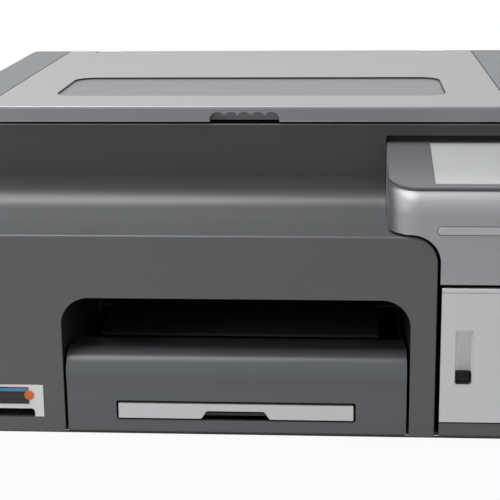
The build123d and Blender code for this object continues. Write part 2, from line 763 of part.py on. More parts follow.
# Ink door: panel with a rounded hinge edge, two moulded pins and a deep finger pocket
with BuildPart() as ink_door:
    block((door_left, door_axis_x), (front, front + door_thickness), (door_low, door_high))
    chamfer(ink_door.edges().filter_by(Axis.X).group_by(Axis.Y)[0].sort_by(Axis.Z)[-1], door_edge)
    block((door_left - past, door_axis_x), (front - past, front + door_line),
          (door_high - door_line_drop - door_line, door_high - door_line_drop), Mode.SUBTRACT)
    rod((door_axis_x, door_axis_y, door_low), (0, 0, 1), door_thickness / 2, door_high - door_low)
    rod((door_axis_x, door_axis_y, sill_top - door_pin_reach + slip), (0, 0, 1),
        door_pin_radius, door_high - sill_top + door_gap + 2 * (door_pin_reach - slip))
    block((grip_left - grip_wall, grip_right + grip_wall),
          (front, front + grip_depth + grip_wall), (grip_low - grip_wall, grip_high + grip_wall))
    rounded_cut(upright(front + grip_depth), ((grip_left + grip_right) / 2, (grip_low + grip_high) / 2),
                (grip_right - grip_left, grip_high - grip_low), thin_wall, grip_depth + past)
ink_door.part.label = "ink_door"

# Ink bay: open-fronted box behind the door that holds the tanks
bay_x = (door_left + thin_wall, door_right)
bay_y = (front + door_thickness + grip_wall, front + door_thickness + grip_wall + bay_depth)
with BuildPart() as ink_bay:
    block(bay_x, bay_y, (floor_top, door_high - thin_wall))
    block((bay_x[0] + thin_wall, bay_x[1] - thin_wall), (bay_y[0] - past, bay_y[1] - thin_wall),
          (door_low, door_high - 2 * thin_wall), Mode.SUBTRACT)
ink_bay.part.label = "ink_bay"

# Ink tanks side by side, and their caps
tank_pitch = (bay_x[1] - bay_x[0] - 2 * thin_wall) / tank_count
tank_xs = [bay_x[0] + thin_wall + tank_pitch * (step + 0.5) for step in range(tank_count)]
tank_y = (bay_y[0] + tank_set_back, bay_y[0] + tank_set_back + tank_length)
tank_top = door_high - tank_headroom
with BuildPart() as ink_tanks:
    for x in tank_xs:
        block((x - tank_pitch / 2 + tank_gap / 2, x + tank_pitch / 2 - tank_gap / 2), tank_y,
              (door_low + slip, tank_top))
    fillet(ink_tanks.edges().filter_by(Axis.Z), tank_edge)
ink_tanks.part.label = "ink_tanks"

with BuildPart() as ink_tank_caps:
    for x in tank_xs:
        rod((x, tank_y[0] + 2 * tank_cap_radius, tank_top), (0, 0, 1), tank_cap_radius,
            tank_cap_height)
ink_tank_caps.part.label = "ink_tank_caps"

# Whole lid outline: rounded top front edge, and a round rear edge centred on the hinge axis
with BuildPart() as lid_form:
    with BuildSketch(Plane.YZ.offset(-half)) as side:
        with BuildLine():
            Line((lid_front, lid_low), (lid_axis_y, lid_low))
            ThreePointArc((lid_axis_y, lid_low), (lid_rear, lid_axis_z), (lid_axis_y, total_height))
            Line((lid_axis_y, total_height), (lid_front + lid_edge, total_height))
            RadiusArc((lid_front + lid_edge, total_height), (lid_front, total_height - lid_edge),
                      -lid_edge)
            Line((lid_front, total_height - lid_edge), (lid_front, lid_low))
        make_face()
    extrude(amount=case_width)
    with BuildSketch(Plane.XY.offset(lid_low - past)) as plan:
        with Locations((0, (lid_front + lid_rear) / 2)):
            Rectangle(case_width, lid_rear - lid_front)
        fillet(plan.vertices().group_by(Axis.Y)[0], lid_front_corner)
        fillet(plan.vertices().group_by(Axis.Y)[-1], lid_rear_corner)
    extrude(amount=total_height - lid_low + 2 * past, mode=Mode.INTERSECT)


def lid_layer(x, z):
    """Slice of the lid between two X bounds and two heights, with the hinge slots cut."""
    add(lid_form.part)
    block(x, (lid_front - past, lid_rear + past), z, Mode.INTERSECT)
    for side in (-1, 1):
        middle = side * lid_hinge_x
        block((middle - lid_hinge_width / 2 - slip, middle + lid_hinge_width / 2 + slip),
              (lid_rear - lid_slot_depth, lid_rear + past), (lid_low - past, total_height + past),
              Mode.SUBTRACT)


def window_outline(grow, z, depth, mode):
    """Rounded outline of the sunken panel, grown by a margin."""
    rounded_cut(Plane.XY.offset(z), (0, lid_front + window_front + window_length / 2),
                (2 * (window_half_width + grow), window_length + 2 * grow), window_corner + grow,
                depth, mode)


def lid_pins(grow, mode):
    """Both hinge pins, grown by a clearance on the radius."""
    reach = lid_hinge_width / 2 + lid_pin_reach
    for side in (-1, 1):
        rod((side * lid_hinge_x - reach, lid_axis_y, lid_axis_z), (1, 0, 0), lid_pin_radius + grow,
            2 * reach, mode)


# Lid shell: dark skirt and core under the panels, hollow inside, with the finger notch
liner_y = (lid_front + lid_band, lid_rear - lid_slot_depth - lid_skin)
liner_x = (-half + lid_skin, half - lid_skin)
with BuildPart() as lid_shell:
    lid_layer((-half, half), (lid_low, panel_low))
    block(liner_x, liner_y, (lid_low - past, panel_low - lid_skin), Mode.SUBTRACT)
    for wave in range(notch_waves):
        centre = notch_left + notch_pitch * (wave + 0.5)
        rod((centre, lid_front - past, lid_low + notch_radius / 4), (0, 1, 0), notch_radius,
            notch_depth + past, Mode.SUBTRACT)
    lid_pins(fit, Mode.SUBTRACT)
lid_shell.part.label = "lid_shell"

# Lid liner: underside plate with a grid of ribs
liner_middle = (liner_y[0] + liner_y[1]) / 2
with BuildPart() as lid_liner:
    block((liner_x[0] + slip, liner_x[1] - slip), (liner_y[0] + slip, liner_y[1] - slip),
          (lid_low, lid_low + thin_wall))
    with Locations((0, liner_middle, lid_low + thin_wall)):
        with GridLocations(case_width / (vent_count - 1), 1, vent_count - 1, 1):
            Box(thin_wall, liner_y[1] - liner_y[0] - 2 * slip,
                panel_low - lid_skin - lid_low - thin_wall - slip,
                align=(Align.CENTER, Align.CENTER, Align.MIN))
lid_liner.part.label = "lid_liner"

# Silver top panel with its sunken window, the window's floor and the two side strips
with BuildPart() as lid_top_panel:
    lid_layer((-panel_half_width, panel_half_width), (panel_low, total_height + past))
    window_outline(0, panel_low - past, panel_thickness + 2 * past, Mode.SUBTRACT)
lid_top_panel.part.label = "lid_top_panel"

with BuildPart() as lid_recess_panel:
    window_outline(-slip / 2, panel_low, panel_thickness - window_sink, Mode.ADD)
lid_recess_panel.part.label = "lid_recess_panel"

with BuildPart() as lid_strip_left:
    lid_layer((-half - past, -panel_half_width - panel_seam), (panel_low, total_height + past))
lid_strip_left.part.label = "lid_strip_left"

with BuildPart() as lid_strip_right:
    lid_layer((panel_half_width + panel_seam, half + past), (panel_low, total_height + past))
lid_strip_right.part.label = "lid_strip_right"

# Hinge brackets on the deck and the steel pins that the lid turns on
with BuildPart() as lid_hinge_brackets:
    for side in (-1, 1):
        x = side * lid_hinge_x - lid_hinge_width / 2
        rod((x, lid_axis_y, lid_axis_z), (1, 0, 0), lid_hinge_radius, lid_hinge_width)
        block((x, x + lid_hinge_width),
              (lid_axis_y - lid_hinge_radius, lid_axis_y + lid_hinge_radius - wall),
              (rim_height, lid_axis_z))
    lid_pins(fit, Mode.SUBTRACT)
lid_hinge_brackets.part.label = "lid_hinge_brackets"

with BuildPart() as lid_hinge_pins:
    lid_pins(0, Mode.ADD)
lid_hinge_pins.part.label = "lid_hinge_pins"

# Film tray: floor, sides, low back and the two grooved rails for the extension
groove_x = (handle_left + handle_gap, handle_right - handle_gap)
groove_z = (extension_height - slip, extension_height + extension_thickness + slip)
with BuildPart() as film_tray:
    block((tray_left, tray_right), (tray_front, tray_rear), (tray_floor_height, tray_floor_top))
    for x in ((tray_left, tray_inner_left), (tray_inner_right, tray_right)):
        block(x, (tray_front, tray_rear), (floor_top + seam, tray_side_height))
    block((tray_left, tray_right), (tray_rear - thin_wall, tray_rear),
          (tray_floor_height, tray_floor_top + guide_height / 2))
    for side, x in zip((-1, 1), groove_x):
        block(sorted((x - side * rail_wall, x + side * (rail_wall + slip))),
              (tray_front, tray_front + extension_length), (groove_z[0] - rail_wall, tray_floor_height))
        block(sorted((x - side * (rail_wall + past), x + side * slip)),
              (tray_front - past, tray_front + extension_length + past), groove_z, Mode.SUBTRACT)
film_tray.part.label = "film_tray"

# Tray front: face that rolls back into a falling hood, closed by a cheek at each end
crest_y = front + tray_roll
crest_z = tray_face_top + tray_roll
hood_y = front + tray_hood_depth
hood_z = crest_z - tray_hood_drop


def tray_front_form(inset, x, low, mode):
    """Space behind the tray's face and under its hood, inset from them."""
    face_y, lip_y = front + tray_lip + inset, front + inset
    swell = ((face_y + lip_y) / 2, (tray_lip_low + tray_face_top) / 2)
    with BuildSketch(Plane.YZ.offset(x[0])) as side:
        with BuildLine():
            Line((face_y, low), (face_y, tray_lip_low))
            TangentArc((face_y, tray_lip_low), swell, tangent=(0, 1))
            TangentArc(swell, (lip_y, tray_face_top), tangent=(0, -1), tangent_from_first=False)
            TangentArc((lip_y, tray_face_top), (crest_y, crest_z - inset), tangent=(0, 1))
            Line((crest_y, crest_z - inset), (hood_y, hood_z - inset))
            Line((hood_y, hood_z - inset), (hood_y, low))
            Line((hood_y, low), (face_y, low))
        make_face()
    extrude(side.sketch, amount=x[1] - x[0], mode=mode)


handle_middle = ((handle_left + handle_right) / 2, (handle_low + handle_high) / 2)
with BuildPart() as film_tray_front:
    tray_front_form(0, (tray_left, tray_right), foot_height + seam, Mode.ADD)
    tray_front_form(wall, (tray_left + wall, tray_right - wall), foot_height - past, Mode.SUBTRACT)
    block((tray_left - past, tray_right + past), (front + tray_lip + wall, hood_y + past),
          (foot_height - past, tray_side_height + seam), Mode.SUBTRACT)
    block((tray_left + wall, tray_right - wall), (hood_y - past, hood_y + past),
          (foot_height, crest_z), Mode.SUBTRACT)
    rounded_cut(upright(front + wall + past), handle_middle,
                (handle_right - handle_left + 2 * handle_gap, handle_high - handle_low + 2 * handle_gap),
                handle_gap, wall + 2 * past)
film_tray_front.part.label = "film_tray_front"

# Output platform: flat plate behind the hood, resting on the tray's sides by tabs
platform_y = (front + platform_front, front + platform_front + platform_length)
with BuildPart() as output_platform:
    block((platform_left, platform_right), platform_y, (tray_side_height, tray_side_height + thin_wall))
    for y in ((platform_y[0] + platform_y[1]) / 2, platform_y[1] - 2 * platform_tab):
        block((tray_left, tray_right), (y, y + platform_tab),
              (tray_side_height, tray_side_height + thin_wall))
output_platform.part.label = "output_platform"

# Extension: slide in the rails, and its silver handle with the finger notch
handle_back = front + handle_thickness
with BuildPart() as tray_extension:
    block((groove_x[0], groove_x[1]), (handle_back, handle_back + extension_length),
          (extension_height, extension_height + extension_thickness))
tray_extension.part.label = "tray_extension"

with BuildPart() as extension_handle:
    with BuildSketch(upright(handle_back)) as plate:
        with Locations(handle_middle):
            RectangleRounded(handle_right - handle_left, handle_high - handle_low, seam)
        with Locations((handle_middle[0], handle_low)):
            Trapezoid(handle_notch_width + 2 * handle_notch_height / tan(radians(handle_notch_slope)),
                      2 * handle_notch_height, handle_notch_slope, mode=Mode.SUBTRACT)
        corners = plate.vertices().filter_by(
            lambda corner: abs(corner.X - handle_middle[0]) < handle_notch_width)
        fillet(corners.group_by(Axis.Z)[-1], handle_notch_edge)
        fillet(corners.group_by(Axis.Z)[0], handle_notch_edge)
    extrude(plate.sketch, amount=handle_thickness)
extension_handle.part.label = "extension_handle"

# Film guides in the tray: one slides across, one slides along
side_guide_y = (hood_y + platform_tab, hood_y + platform_tab + side_guide_length)
guide_z = tray_floor_top + slip
with BuildPart() as side_guide:
    block((tray_inner_left + slip, tray_inner_left + side_guide_width), side_guide_y,
          (guide_z, guide_z + guide_base))
    block((tray_inner_left + slip, tray_inner_left + thin_wall), side_guide_y,
          (guide_z, guide_z + guide_height))
side_guide.part.label = "side_guide"

rear_guide_y = (tray_rear - thin_wall - slip - rear_guide_length, tray_rear - thin_wall - slip)
with BuildPart() as rear_guide:
    block((-rear_guide_width / 2, rear_guide_width / 2), rear_guide_y, (guide_z, guide_z + guide_base))
    block((-rear_guide_width / 2, rear_guide_width / 2), (rear_guide_y[1] - thin_wall, rear_guide_y[1]),
          (guide_z, guide_z + guide_height))
rear_guide.part.label = "rear_guide"


def shaft_holes(x, y_and_radius, z):
    """Holes through a frame plate for shafts at one height."""
    for y, radius in y_and_radius:
        rod((x - past, y, z), (1, 0, 0), radius + fit, sheet + 2 * past, Mode.SUBTRACT)


# Main frame: two steel side plates joined by a back plate
with BuildPart() as main_frame:
    for x in (frame_left, frame_right - sheet):
        block((x, x + sheet), (frame_front, frame_rear), (floor_top, frame_top))
        shaft_holes(x, ((feed_y, shaft_radius), (eject_y, shaft_radius)), gear_train_z)
        shaft_holes(x, ((rod_y, rod_radius),), rod_z)
    shaft_holes(frame_left, ((idler_y, shaft_radius),), gear_train_z)
    rod((frame_left - past, pinion_y, pinion_z), (1, 0, 0), motor_shaft_radius + fit,
        sheet + 2 * past, Mode.SUBTRACT)
    block((frame_left, frame_right), (frame_rear - sheet, frame_rear), (frame_back_low, frame_top))
    for x in (drive_x, idler_x):
        rod((x, frame_rear + past, pulley_z), (0, -1, 0), motor_shaft_radius + fit,
            sheet + 2 * past, Mode.SUBTRACT)
main_frame.part.label = "main_frame"

with BuildPart() as guide_rod:
    rod((frame_left - sheet, rod_y, rod_z), (1, 0, 0), rod_radius,
        frame_right - frame_left + 2 * sheet)
guide_rod.part.label = "guide_rod"


def gear_points(teeth, phase, centre):
    """Points round an involute spur gear with one tooth centred on the phase angle."""
    pitch = gear_module * teeth / 2
    pressure = radians(gear_pressure)
    base = pitch * cos(pressure)
    root = pitch - gear_root * gear_module
    tip = pitch + gear_tip * gear_module
    half_tooth = pi / (2 * teeth) - gear_backlash / (2 * pitch)
    foot = max(base, root)
    levels = [foot + (tip - foot) * step / flank_steps for step in range(flank_steps + 1)]
    flank = []
    for radius in levels:
        roll = acos(min(1.0, base / radius))
        flank.append((radius, half_tooth + tan(pressure) - pressure - tan(roll) + roll))
    points = []
    for tooth in range(teeth):
        middle = phase + 2 * pi * tooth / teeth
        rise = [(radius, -angle) for radius, angle in flank]
        if root < base:
            rise.insert(0, (root, rise[0][1]))
        for radius, angle in rise + [(radius, -angle) for radius, angle in reversed(rise)]:
            points.append((centre[0] + radius * cos(middle + angle),
                           centre[1] + radius * sin(middle + angle)))
    return points


def gear(teeth, phase, centre):
    """Spur gear on the train outside the frame's left plate."""
    extrude_x(gear_points(teeth, phase, centre), (gear_right - gear_width, gear_right))


def roller(y, right):
    """Rubber-coated roller with its shaft from the gear train to the right plate."""
    rod((roller_left, y, gear_train_z), (1, 0, 0), roller_radius, roller_right - roller_left)
    rod((gear_right - gear_width - past, y, gear_train_z), (1, 0, 0), shaft_radius,
        right - gear_right + gear_width + past)


def hub(y):
    """Bore of a gear pressed on a shaft."""
    rod((gear_right - gear_width - past, y, gear_train_z), (1, 0, 0), shaft_radius,
        gear_width + 2 * past, Mode.SUBTRACT)


with BuildPart() as feed_roller:
    roller(feed_y, frame_right + thin_wall)
feed_roller.part.label = "feed_roller"

with BuildPart() as feed_gear:
    gear(feed_teeth, 0, (feed_y, gear_train_z))
    hub(feed_y)
feed_gear.part.label = "feed_gear"

with BuildPart() as eject_roller:
    roller(eject_y, frame_right + thin_wall)
eject_roller.part.label = "eject_roller"

with BuildPart() as eject_gear:
    gear(feed_teeth, 0, (eject_y, gear_train_z))
    hub(eject_y)
eject_gear.part.label = "eject_gear"

with BuildPart() as idler_gear:
    gear(idler_teeth, pi / idler_teeth, (idler_y, gear_train_z))
    rod((gear_right - past, idler_y, gear_train_z), (1, 0, 0), shaft_radius,
        past + gear_stand_off + sheet - slip)
idler_gear.part.label = "idler_gear"

with BuildPart() as motor_pinion:
    gear(pinion_teeth, pinion_angle + pi + pi / pinion_teeth, (pinion_y, pinion_z))
    rod((gear_right - past, pinion_y, pinion_z), (1, 0, 0), motor_shaft_radius,
        gear_stand_off + sheet + past)
motor_pinion.part.label = "motor_pinion"

with BuildPart() as feed_motor:
    rod((frame_left + sheet, pinion_y, pinion_z), (1, 0, 0), feed_motor_radius, feed_motor_length)
    rod((frame_left + sheet + feed_motor_length, pinion_y, pinion_z), (1, 0, 0),
        feed_motor_radius / 2, thin_wall)
feed_motor.part.label = "feed_motor"

# Pinch rollers over the feed roller, and the arms that hold them to the back plate
pinch_z = film_z + film_gap + pinch_radius
pinch_pitch = (roller_right - roller_left) / pinch_count
pinch_xs = [roller_left + pinch_pitch * (step + 0.5) for step in range(pinch_count)]
with BuildPart() as pinch_rollers:
    for x in pinch_xs:
        rod((x - pinch_length / 2, feed_y, pinch_z), (1, 0, 0), pinch_radius, pinch_length)
        rod((x - pinch_length / 2 - thin_wall - past, feed_y, pinch_z), (1, 0, 0),
            star_shaft_radius, pinch_length + 2 * (thin_wall + past))
pinch_rollers.part.label = "pinch_rollers"

arm_reach = pinch_length / 2 + slip + thin_wall
with BuildPart() as pinch_arms:
    for x in pinch_xs:
        for side in (-1, 1):
            near = x + side * (arm_reach - thin_wall)
            ear = sorted((near, near + side * thin_wall))
            extrude_x([(feed_y - pinch_radius / 2, pinch_z - pinch_radius / 2),
                       (feed_y + pinch_radius, pinch_z - pinch_radius / 2),
                       (frame_rear - sheet, frame_back_low),
                       (frame_rear - sheet, frame_back_low + 2 * wall),
                       (feed_y - pinch_radius / 2, pinch_z + pinch_radius)], ear)
        block((x - arm_reach, x + arm_reach), (frame_rear - sheet - thin_wall, frame_rear - sheet),
              (frame_back_low, frame_back_low + 2 * wall))
        rod((x - arm_reach - past, feed_y, pinch_z), (1, 0, 0), star_shaft_radius + fit,
            2 * (arm_reach + past), Mode.SUBTRACT)
    block((pinch_xs[0] - arm_reach, pinch_xs[-1] + arm_reach),
          (frame_rear - sheet - thin_wall, frame_rear - sheet),
          (frame_back_low + wall, frame_back_low + 2 * wall))
pinch_arms.part.label = "pinch_arms"

# Star wheels over the eject roller, on one thin shaft between the frame plates
star_z = film_z + film_gap + star_radius
with BuildPart() as star_wheels:
    rod((frame_left + sheet, eject_y, star_z), (1, 0, 0), star_shaft_radius,
        frame_right - frame_left - 2 * sheet)
    for step in range(star_count):
        x = roller_left + (roller_right - roller_left) * (step + 0.5) / star_count
        points = []
        for point in range(2 * star_points):
            radius = star_radius if point % 2 == 0 else star_radius - thin_wall / 2
            angle = pi * point / star_points
            points.append((eject_y + radius * cos(angle), star_z + radius * sin(angle)))
        extrude_x(points, (x, x + star_thickness))
star_wheels.part.label = "star_wheels"

# Platen: ribbed film support between the two rollers
platen_y = (eject_y + roller_radius + thin_wall, feed_y - roller_radius - thin_wall)
platen_z = (film_z - platen_height, film_z - seam / 2)
with BuildPart() as platen:
    block((frame_left + sheet, roller_right), platen_y, (platen_z[0], platen_z[1] - rib_height))
    with Locations(((roller_left + roller_right) / 2, (platen_y[0] + platen_y[1]) / 2,
                    platen_z[1] - rib_height)):
        with GridLocations((roller_right - roller_left) / rib_count, 1, rib_count, 1):
            Box(rib_width, platen_y[1] - platen_y[0], rib_height,
                align=(Align.CENTER, Align.CENTER, Align.MIN))
platen.part.label = "platen"

# Carriage: pocketed body on the guide rod, with an arm back to the belt
carriage_x = (carriage_parked - carriage_width / 2, carriage_parked + carriage_width / 2)
pocket_rear = rod_y - rod_radius - 2 * thin_wall
belt_top = pulley_z + pulley_radius + slip + belt_thickness
clamp_half = carriage_width / 8
clamp_front = belt_front - slip - thin_wall
with BuildPart() as carriage:
    block(carriage_x, (carriage_front, carriage_rear), (carriage_low, carriage_high))
    block((carriage_x[0] + thin_wall, carriage_x[1] - thin_wall),
          (carriage_front + thin_wall, pocket_rear), (carriage_low + thin_wall, carriage_high + past),
          Mode.SUBTRACT)
    for step in range(1, tank_count):
        x = carriage_x[0] + carriage_width * step / tank_count
        block((x - thin_wall / 2, x + thin_wall / 2), (carriage_front, pocket_rear + past),
              (carriage_low, carriage_high - 3 * wall))
    block((carriage_parked - clamp_half, carriage_parked + clamp_half),
          (rod_y + rod_radius, clamp_front + thin_wall), (rod_z - rod_radius, carriage_high - 2 * wall))
    block((carriage_parked - clamp_half, carriage_parked + clamp_half),
          (clamp_front, clamp_front + thin_wall), (rod_z - rod_radius, belt_top + slip + thin_wall))
    block((carriage_parked - clamp_half, carriage_parked + clamp_half),
          (clamp_front, belt_front + belt_width), (belt_top + slip, belt_top + slip + thin_wall))
    block((carriage_parked - clamp_half, carriage_parked + clamp_half),
          (clamp_front, belt_front + belt_width),
          (belt_top - belt_thickness - slip - thin_wall, belt_top - belt_thickness - slip))
    rod((carriage_x[0] - past, rod_y, rod_z), (1, 0, 0), rod_radius + fit,
        carriage_width + 2 * past, Mode.SUBTRACT)
carriage.part.label = "carriage"

head_x = (carriage_parked - head_width / 2, carriage_parked + head_width / 2)
head_y = (carriage_front + 2 * thin_wall, carriage_front + 2 * thin_wall + head_length)
with BuildPart() as print_head:
    block(head_x, head_y, (nozzle_z, carriage_low))
    with BuildSketch(Plane.XY.offset(nozzle_z)):
        with Locations(((head_x[0] + head_x[1]) / 2, (head_y[0] + head_y[1]) / 2)):
            with GridLocations(head_width / tank_count, 1, tank_count, 1):
                Rectangle(rib_width, nozzle_length)
    extrude(amount=slip, mode=Mode.SUBTRACT)
print_head.part.label = "print_head"

# Belt, its two pulleys and the carriage motor behind the back plate
with BuildPart() as carriage_belt:
    with BuildSketch(upright(belt_front + belt_width)):
        with Locations(((drive_x + idler_x) / 2, pulley_z)):
            SlotCenterToCenter(idler_x - drive_x, 2 * (pulley_radius + slip + belt_thickness))
            SlotCenterToCenter(idler_x - drive_x, 2 * (pulley_radius + slip), mode=Mode.SUBTRACT)
    extrude(amount=belt_width)
carriage_belt.part.label = "carriage_belt"


def pulley(x):
    """Flanged belt pulley with its shaft through the back plate."""
    rod((x, belt_front - slip, pulley_z), (0, 1, 0), pulley_radius, belt_width + 2 * slip)
    for y in (belt_front - slip - past, belt_front + belt_width + slip):
        rod((x, y, pulley_z), (0, 1, 0), pulley_radius + pulley_flange, past)
    rod((x, belt_front, pulley_z), (0, 1, 0), motor_shaft_radius, frame_rear - belt_front)


with BuildPart() as drive_pulley:
    pulley(drive_x)
drive_pulley.part.label = "drive_pulley"

with BuildPart() as idler_pulley:
    pulley(idler_x)
idler_pulley.part.label = "idler_pulley"

with BuildPart() as carriage_motor:
    rod((drive_x, frame_rear, pulley_z), (0, 1, 0), carriage_motor_radius, carriage_motor_length)
    rod((drive_x, frame_rear + carriage_motor_length, pulley_z), (0, 1, 0),
        carriage_motor_radius / 2, thin_wall)
carriage_motor.part.label = "carriage_motor"

# Capping station under the parked carriage, with its rubber cap lip and wiper
station_left = roller_right + 2 * thin_wall
cap_x = (head_x[0] - past, head_x[1] + past)
cap_y = (head_y[0] - past, head_y[1] + past)
with BuildPart() as capping_station:
    block((station_left, station_right), (station_front, station_rear), (station_low, station_height))
    block((runner_x[1] + thin_wall + seam, station_right), (station_front, station_rear),
          (floor_top, station_low))
    block((cap_x[0] + cap_wall, cap_x[1] - cap_wall), (cap_y[0] + cap_wall, cap_y[1] - cap_wall),
          (station_height - wall, station_height + past), Mode.SUBTRACT)
capping_station.part.label = "capping_station"

wiper_x = station_left + thin_wall
with BuildPart() as cap_seal:
    block(cap_x, cap_y, (station_height, nozzle_z - slip))
    block((cap_x[0] + cap_wall, cap_x[1] - cap_wall), (cap_y[0] + cap_wall, cap_y[1] - cap_wall),
          (station_height - past, nozzle_z), Mode.SUBTRACT)
    block((wiper_x, wiper_x + wiper_thickness), cap_y, (station_height, nozzle_z - slip))
cap_seal.part.label = "cap_seal"

# Main board on posts at the left cover, with its chips and connectors
board_y_span = (frame_front, frame_front + board_size[0])
board_z_span = (board_low, board_low + board_size[1])
board_left = -half + wall + board_stand_off
with BuildPart() as main_board:
    block((board_left, board_left + board_thickness), board_y_span, board_z_span)
    with Locations(Plane.YZ.offset(-half + wall)):
        with Locations(((board_y_span[0] + board_y_span[1]) / 2, (board_z_span[0] + board_z_span[1]) / 2)):
            with GridLocations(board_size[0] - 2 * board_margin, board_size[1] - 2 * board_margin, 2, 2):
                Cylinder(board_stand_off / 2, board_stand_off,
                         align=(Align.CENTER, Align.CENTER, Align.MIN))
    with Locations(Plane.YZ.offset(board_left + board_thickness)):
        with Locations(((board_y_span[0] + board_y_span[1]) / 2, (board_z_span[0] + board_z_span[1]) / 2)):
            with GridLocations(chip_pitch[0], chip_pitch[1], 3, 2):
                Box(chip_size[0], chip_size[1], thin_wall,
                    align=(Align.CENTER, Align.CENTER, Align.MIN))
main_board.part.label = "main_board"

# Power supply box with vent slots, and the two rear sockets
supply_y = (rear - wall - inlet_depth - slip - supply_size[1], rear - wall - inlet_depth - slip)
with BuildPart() as power_supply:
    block((inlet_x - supply_size[0] / 2, inlet_x + supply_size[0] / 2), supply_y,
          (floor_top, floor_top + supply_size[2]))
    with BuildSketch(Plane.XY.offset(floor_top + supply_size[2])):
        with Locations((inlet_x, (supply_y[0] + supply_y[1]) / 2)):
            with GridLocations(vent_pitch, 1, vent_count, 1):
                SlotOverall(supply_size[1] * 2 / 3, vent_width, rotation=90)
    extrude(amount=-sheet, mode=Mode.SUBTRACT)
power_supply.part.label = "power_supply"

with BuildPart() as power_inlet:
    block((inlet_x - inlet_width / 2, inlet_x + inlet_width / 2), (rear - inlet_depth - wall, rear),
          (inlet_z - inlet_height / 2, inlet_z + inlet_height / 2))
    block((inlet_x - inlet_width / 2 + thin_wall, inlet_x + inlet_width / 2 - thin_wall),
          (rear - inlet_socket_depth, rear + past),
          (inlet_z - inlet_height / 2 + thin_wall, inlet_z + inlet_height / 2 - thin_wall), Mode.SUBTRACT)
    for blade in (-1, 0, 1):
        block((inlet_x + blade * vent_pitch - wall / 4, inlet_x + blade * vent_pitch + wall / 4),
              (rear - inlet_socket_depth - past, rear - thin_wall),
              (inlet_z - thin_wall, inlet_z + thin_wall))
power_inlet.part.label = "power_inlet"

with BuildPart() as usb_socket:
    block((usb_x - usb_width / 2, usb_x + usb_width / 2), (rear - inlet_depth, rear),
          (usb_z - usb_height / 2, usb_z + usb_height / 2))
    block((usb_x - usb_width / 2 + usb_wall, usb_x + usb_width / 2 - usb_wall),
          (rear - inlet_socket_depth, rear + past),
          (usb_z - usb_height / 2 + usb_wall, usb_z + usb_height / 2 - usb_wall), Mode.SUBTRACT)
    block((usb_x - usb_width / 4, usb_x + usb_width / 4), (rear - inlet_socket_depth - past, rear - past),
          (usb_z - usb_height / 6, usb_z + usb_height / 6))
usb_socket.part.label = "usb_socket"

# Rubber feet under the base
with BuildPart() as rubber_feet:
    with GridLocations(case_width - 2 * foot_inset, case_depth - 2 * foot_inset, 2, 2):
        Cylinder(foot_radius, foot_height, align=(Align.CENTER, Align.CENTER, Align.MIN))
    chamfer(rubber_feet.edges().filter_by(GeomType.CIRCLE).group_by(Axis.Z)[0], foot_chamfer)
rubber_feet.part.label = "rubber_feet"

pieces = (front_cover, side_cover_left, side_cover_right, rear_cover, rear_door, base_pan, top_deck,
          output_throat, control_housing, control_bezel, display_window, control_board, power_bar,
          ink_door, ink_bay, ink_tanks, ink_tank_caps, card_bay_cover, card_bay, lid_shell, lid_liner,
          lid_top_panel, lid_recess_panel, lid_strip_left, lid_strip_right, lid_hinge_brackets,
          lid_hinge_pins, film_tray, film_tray_front, output_platform, tray_extension,
          extension_handle, side_guide, rear_guide, main_frame, guide_rod, carriage, print_head,
          carriage_belt, drive_pulley, idler_pulley, carriage_motor, feed_roller, feed_gear,
          eject_roller, eject_gear, idler_gear, motor_pinion, feed_motor, pinch_rollers, pinch_arms,
          star_wheels, platen, capping_station, cap_seal, main_board, power_supply, power_inlet,
          usb_socket, rubber_feet)

os.makedirs("parts", exist_ok=True)
for piece in pieces:
    export_step(piece.part, "parts/" + piece.part.label + ".step")
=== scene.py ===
import bmesh
import bpy
import json
import numpy as np
from math import cos, pi, radians, sin
from mathutils import Matrix, Vector


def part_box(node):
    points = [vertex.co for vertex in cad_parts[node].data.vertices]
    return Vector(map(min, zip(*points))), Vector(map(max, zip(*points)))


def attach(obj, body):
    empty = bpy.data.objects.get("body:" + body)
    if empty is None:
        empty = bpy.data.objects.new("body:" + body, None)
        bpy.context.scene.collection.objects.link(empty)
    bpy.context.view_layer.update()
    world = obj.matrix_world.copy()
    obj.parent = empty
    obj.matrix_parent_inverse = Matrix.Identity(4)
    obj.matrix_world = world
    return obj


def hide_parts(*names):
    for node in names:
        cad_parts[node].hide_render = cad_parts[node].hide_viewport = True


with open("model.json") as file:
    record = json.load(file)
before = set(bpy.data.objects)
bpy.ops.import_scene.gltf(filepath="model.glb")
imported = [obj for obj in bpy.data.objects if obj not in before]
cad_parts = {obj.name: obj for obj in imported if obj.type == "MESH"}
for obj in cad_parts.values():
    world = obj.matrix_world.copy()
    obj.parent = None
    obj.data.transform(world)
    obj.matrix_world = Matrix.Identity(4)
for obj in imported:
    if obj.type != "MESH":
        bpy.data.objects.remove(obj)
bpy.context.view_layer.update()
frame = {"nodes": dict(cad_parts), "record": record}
nodes = frame["nodes"]

# Camera, at the photograph's viewing angle
cameraLook = {
    "place": (0.07130, -1.10198, 0.36983),   # metres, in the machine's own frame
    "turnRight": radians(-3.9866),           # yaw, positive turns towards +X
    "lookDown": radians(14.8463),            # pitch below the horizon
    "roll": radians(-0.6461),
    "lens": 100.535,                         # millimetres
    "sensor": 36,                            # width in millimetres
    "nearest": 0.01,                         # metres, nothing nearer is drawn
}


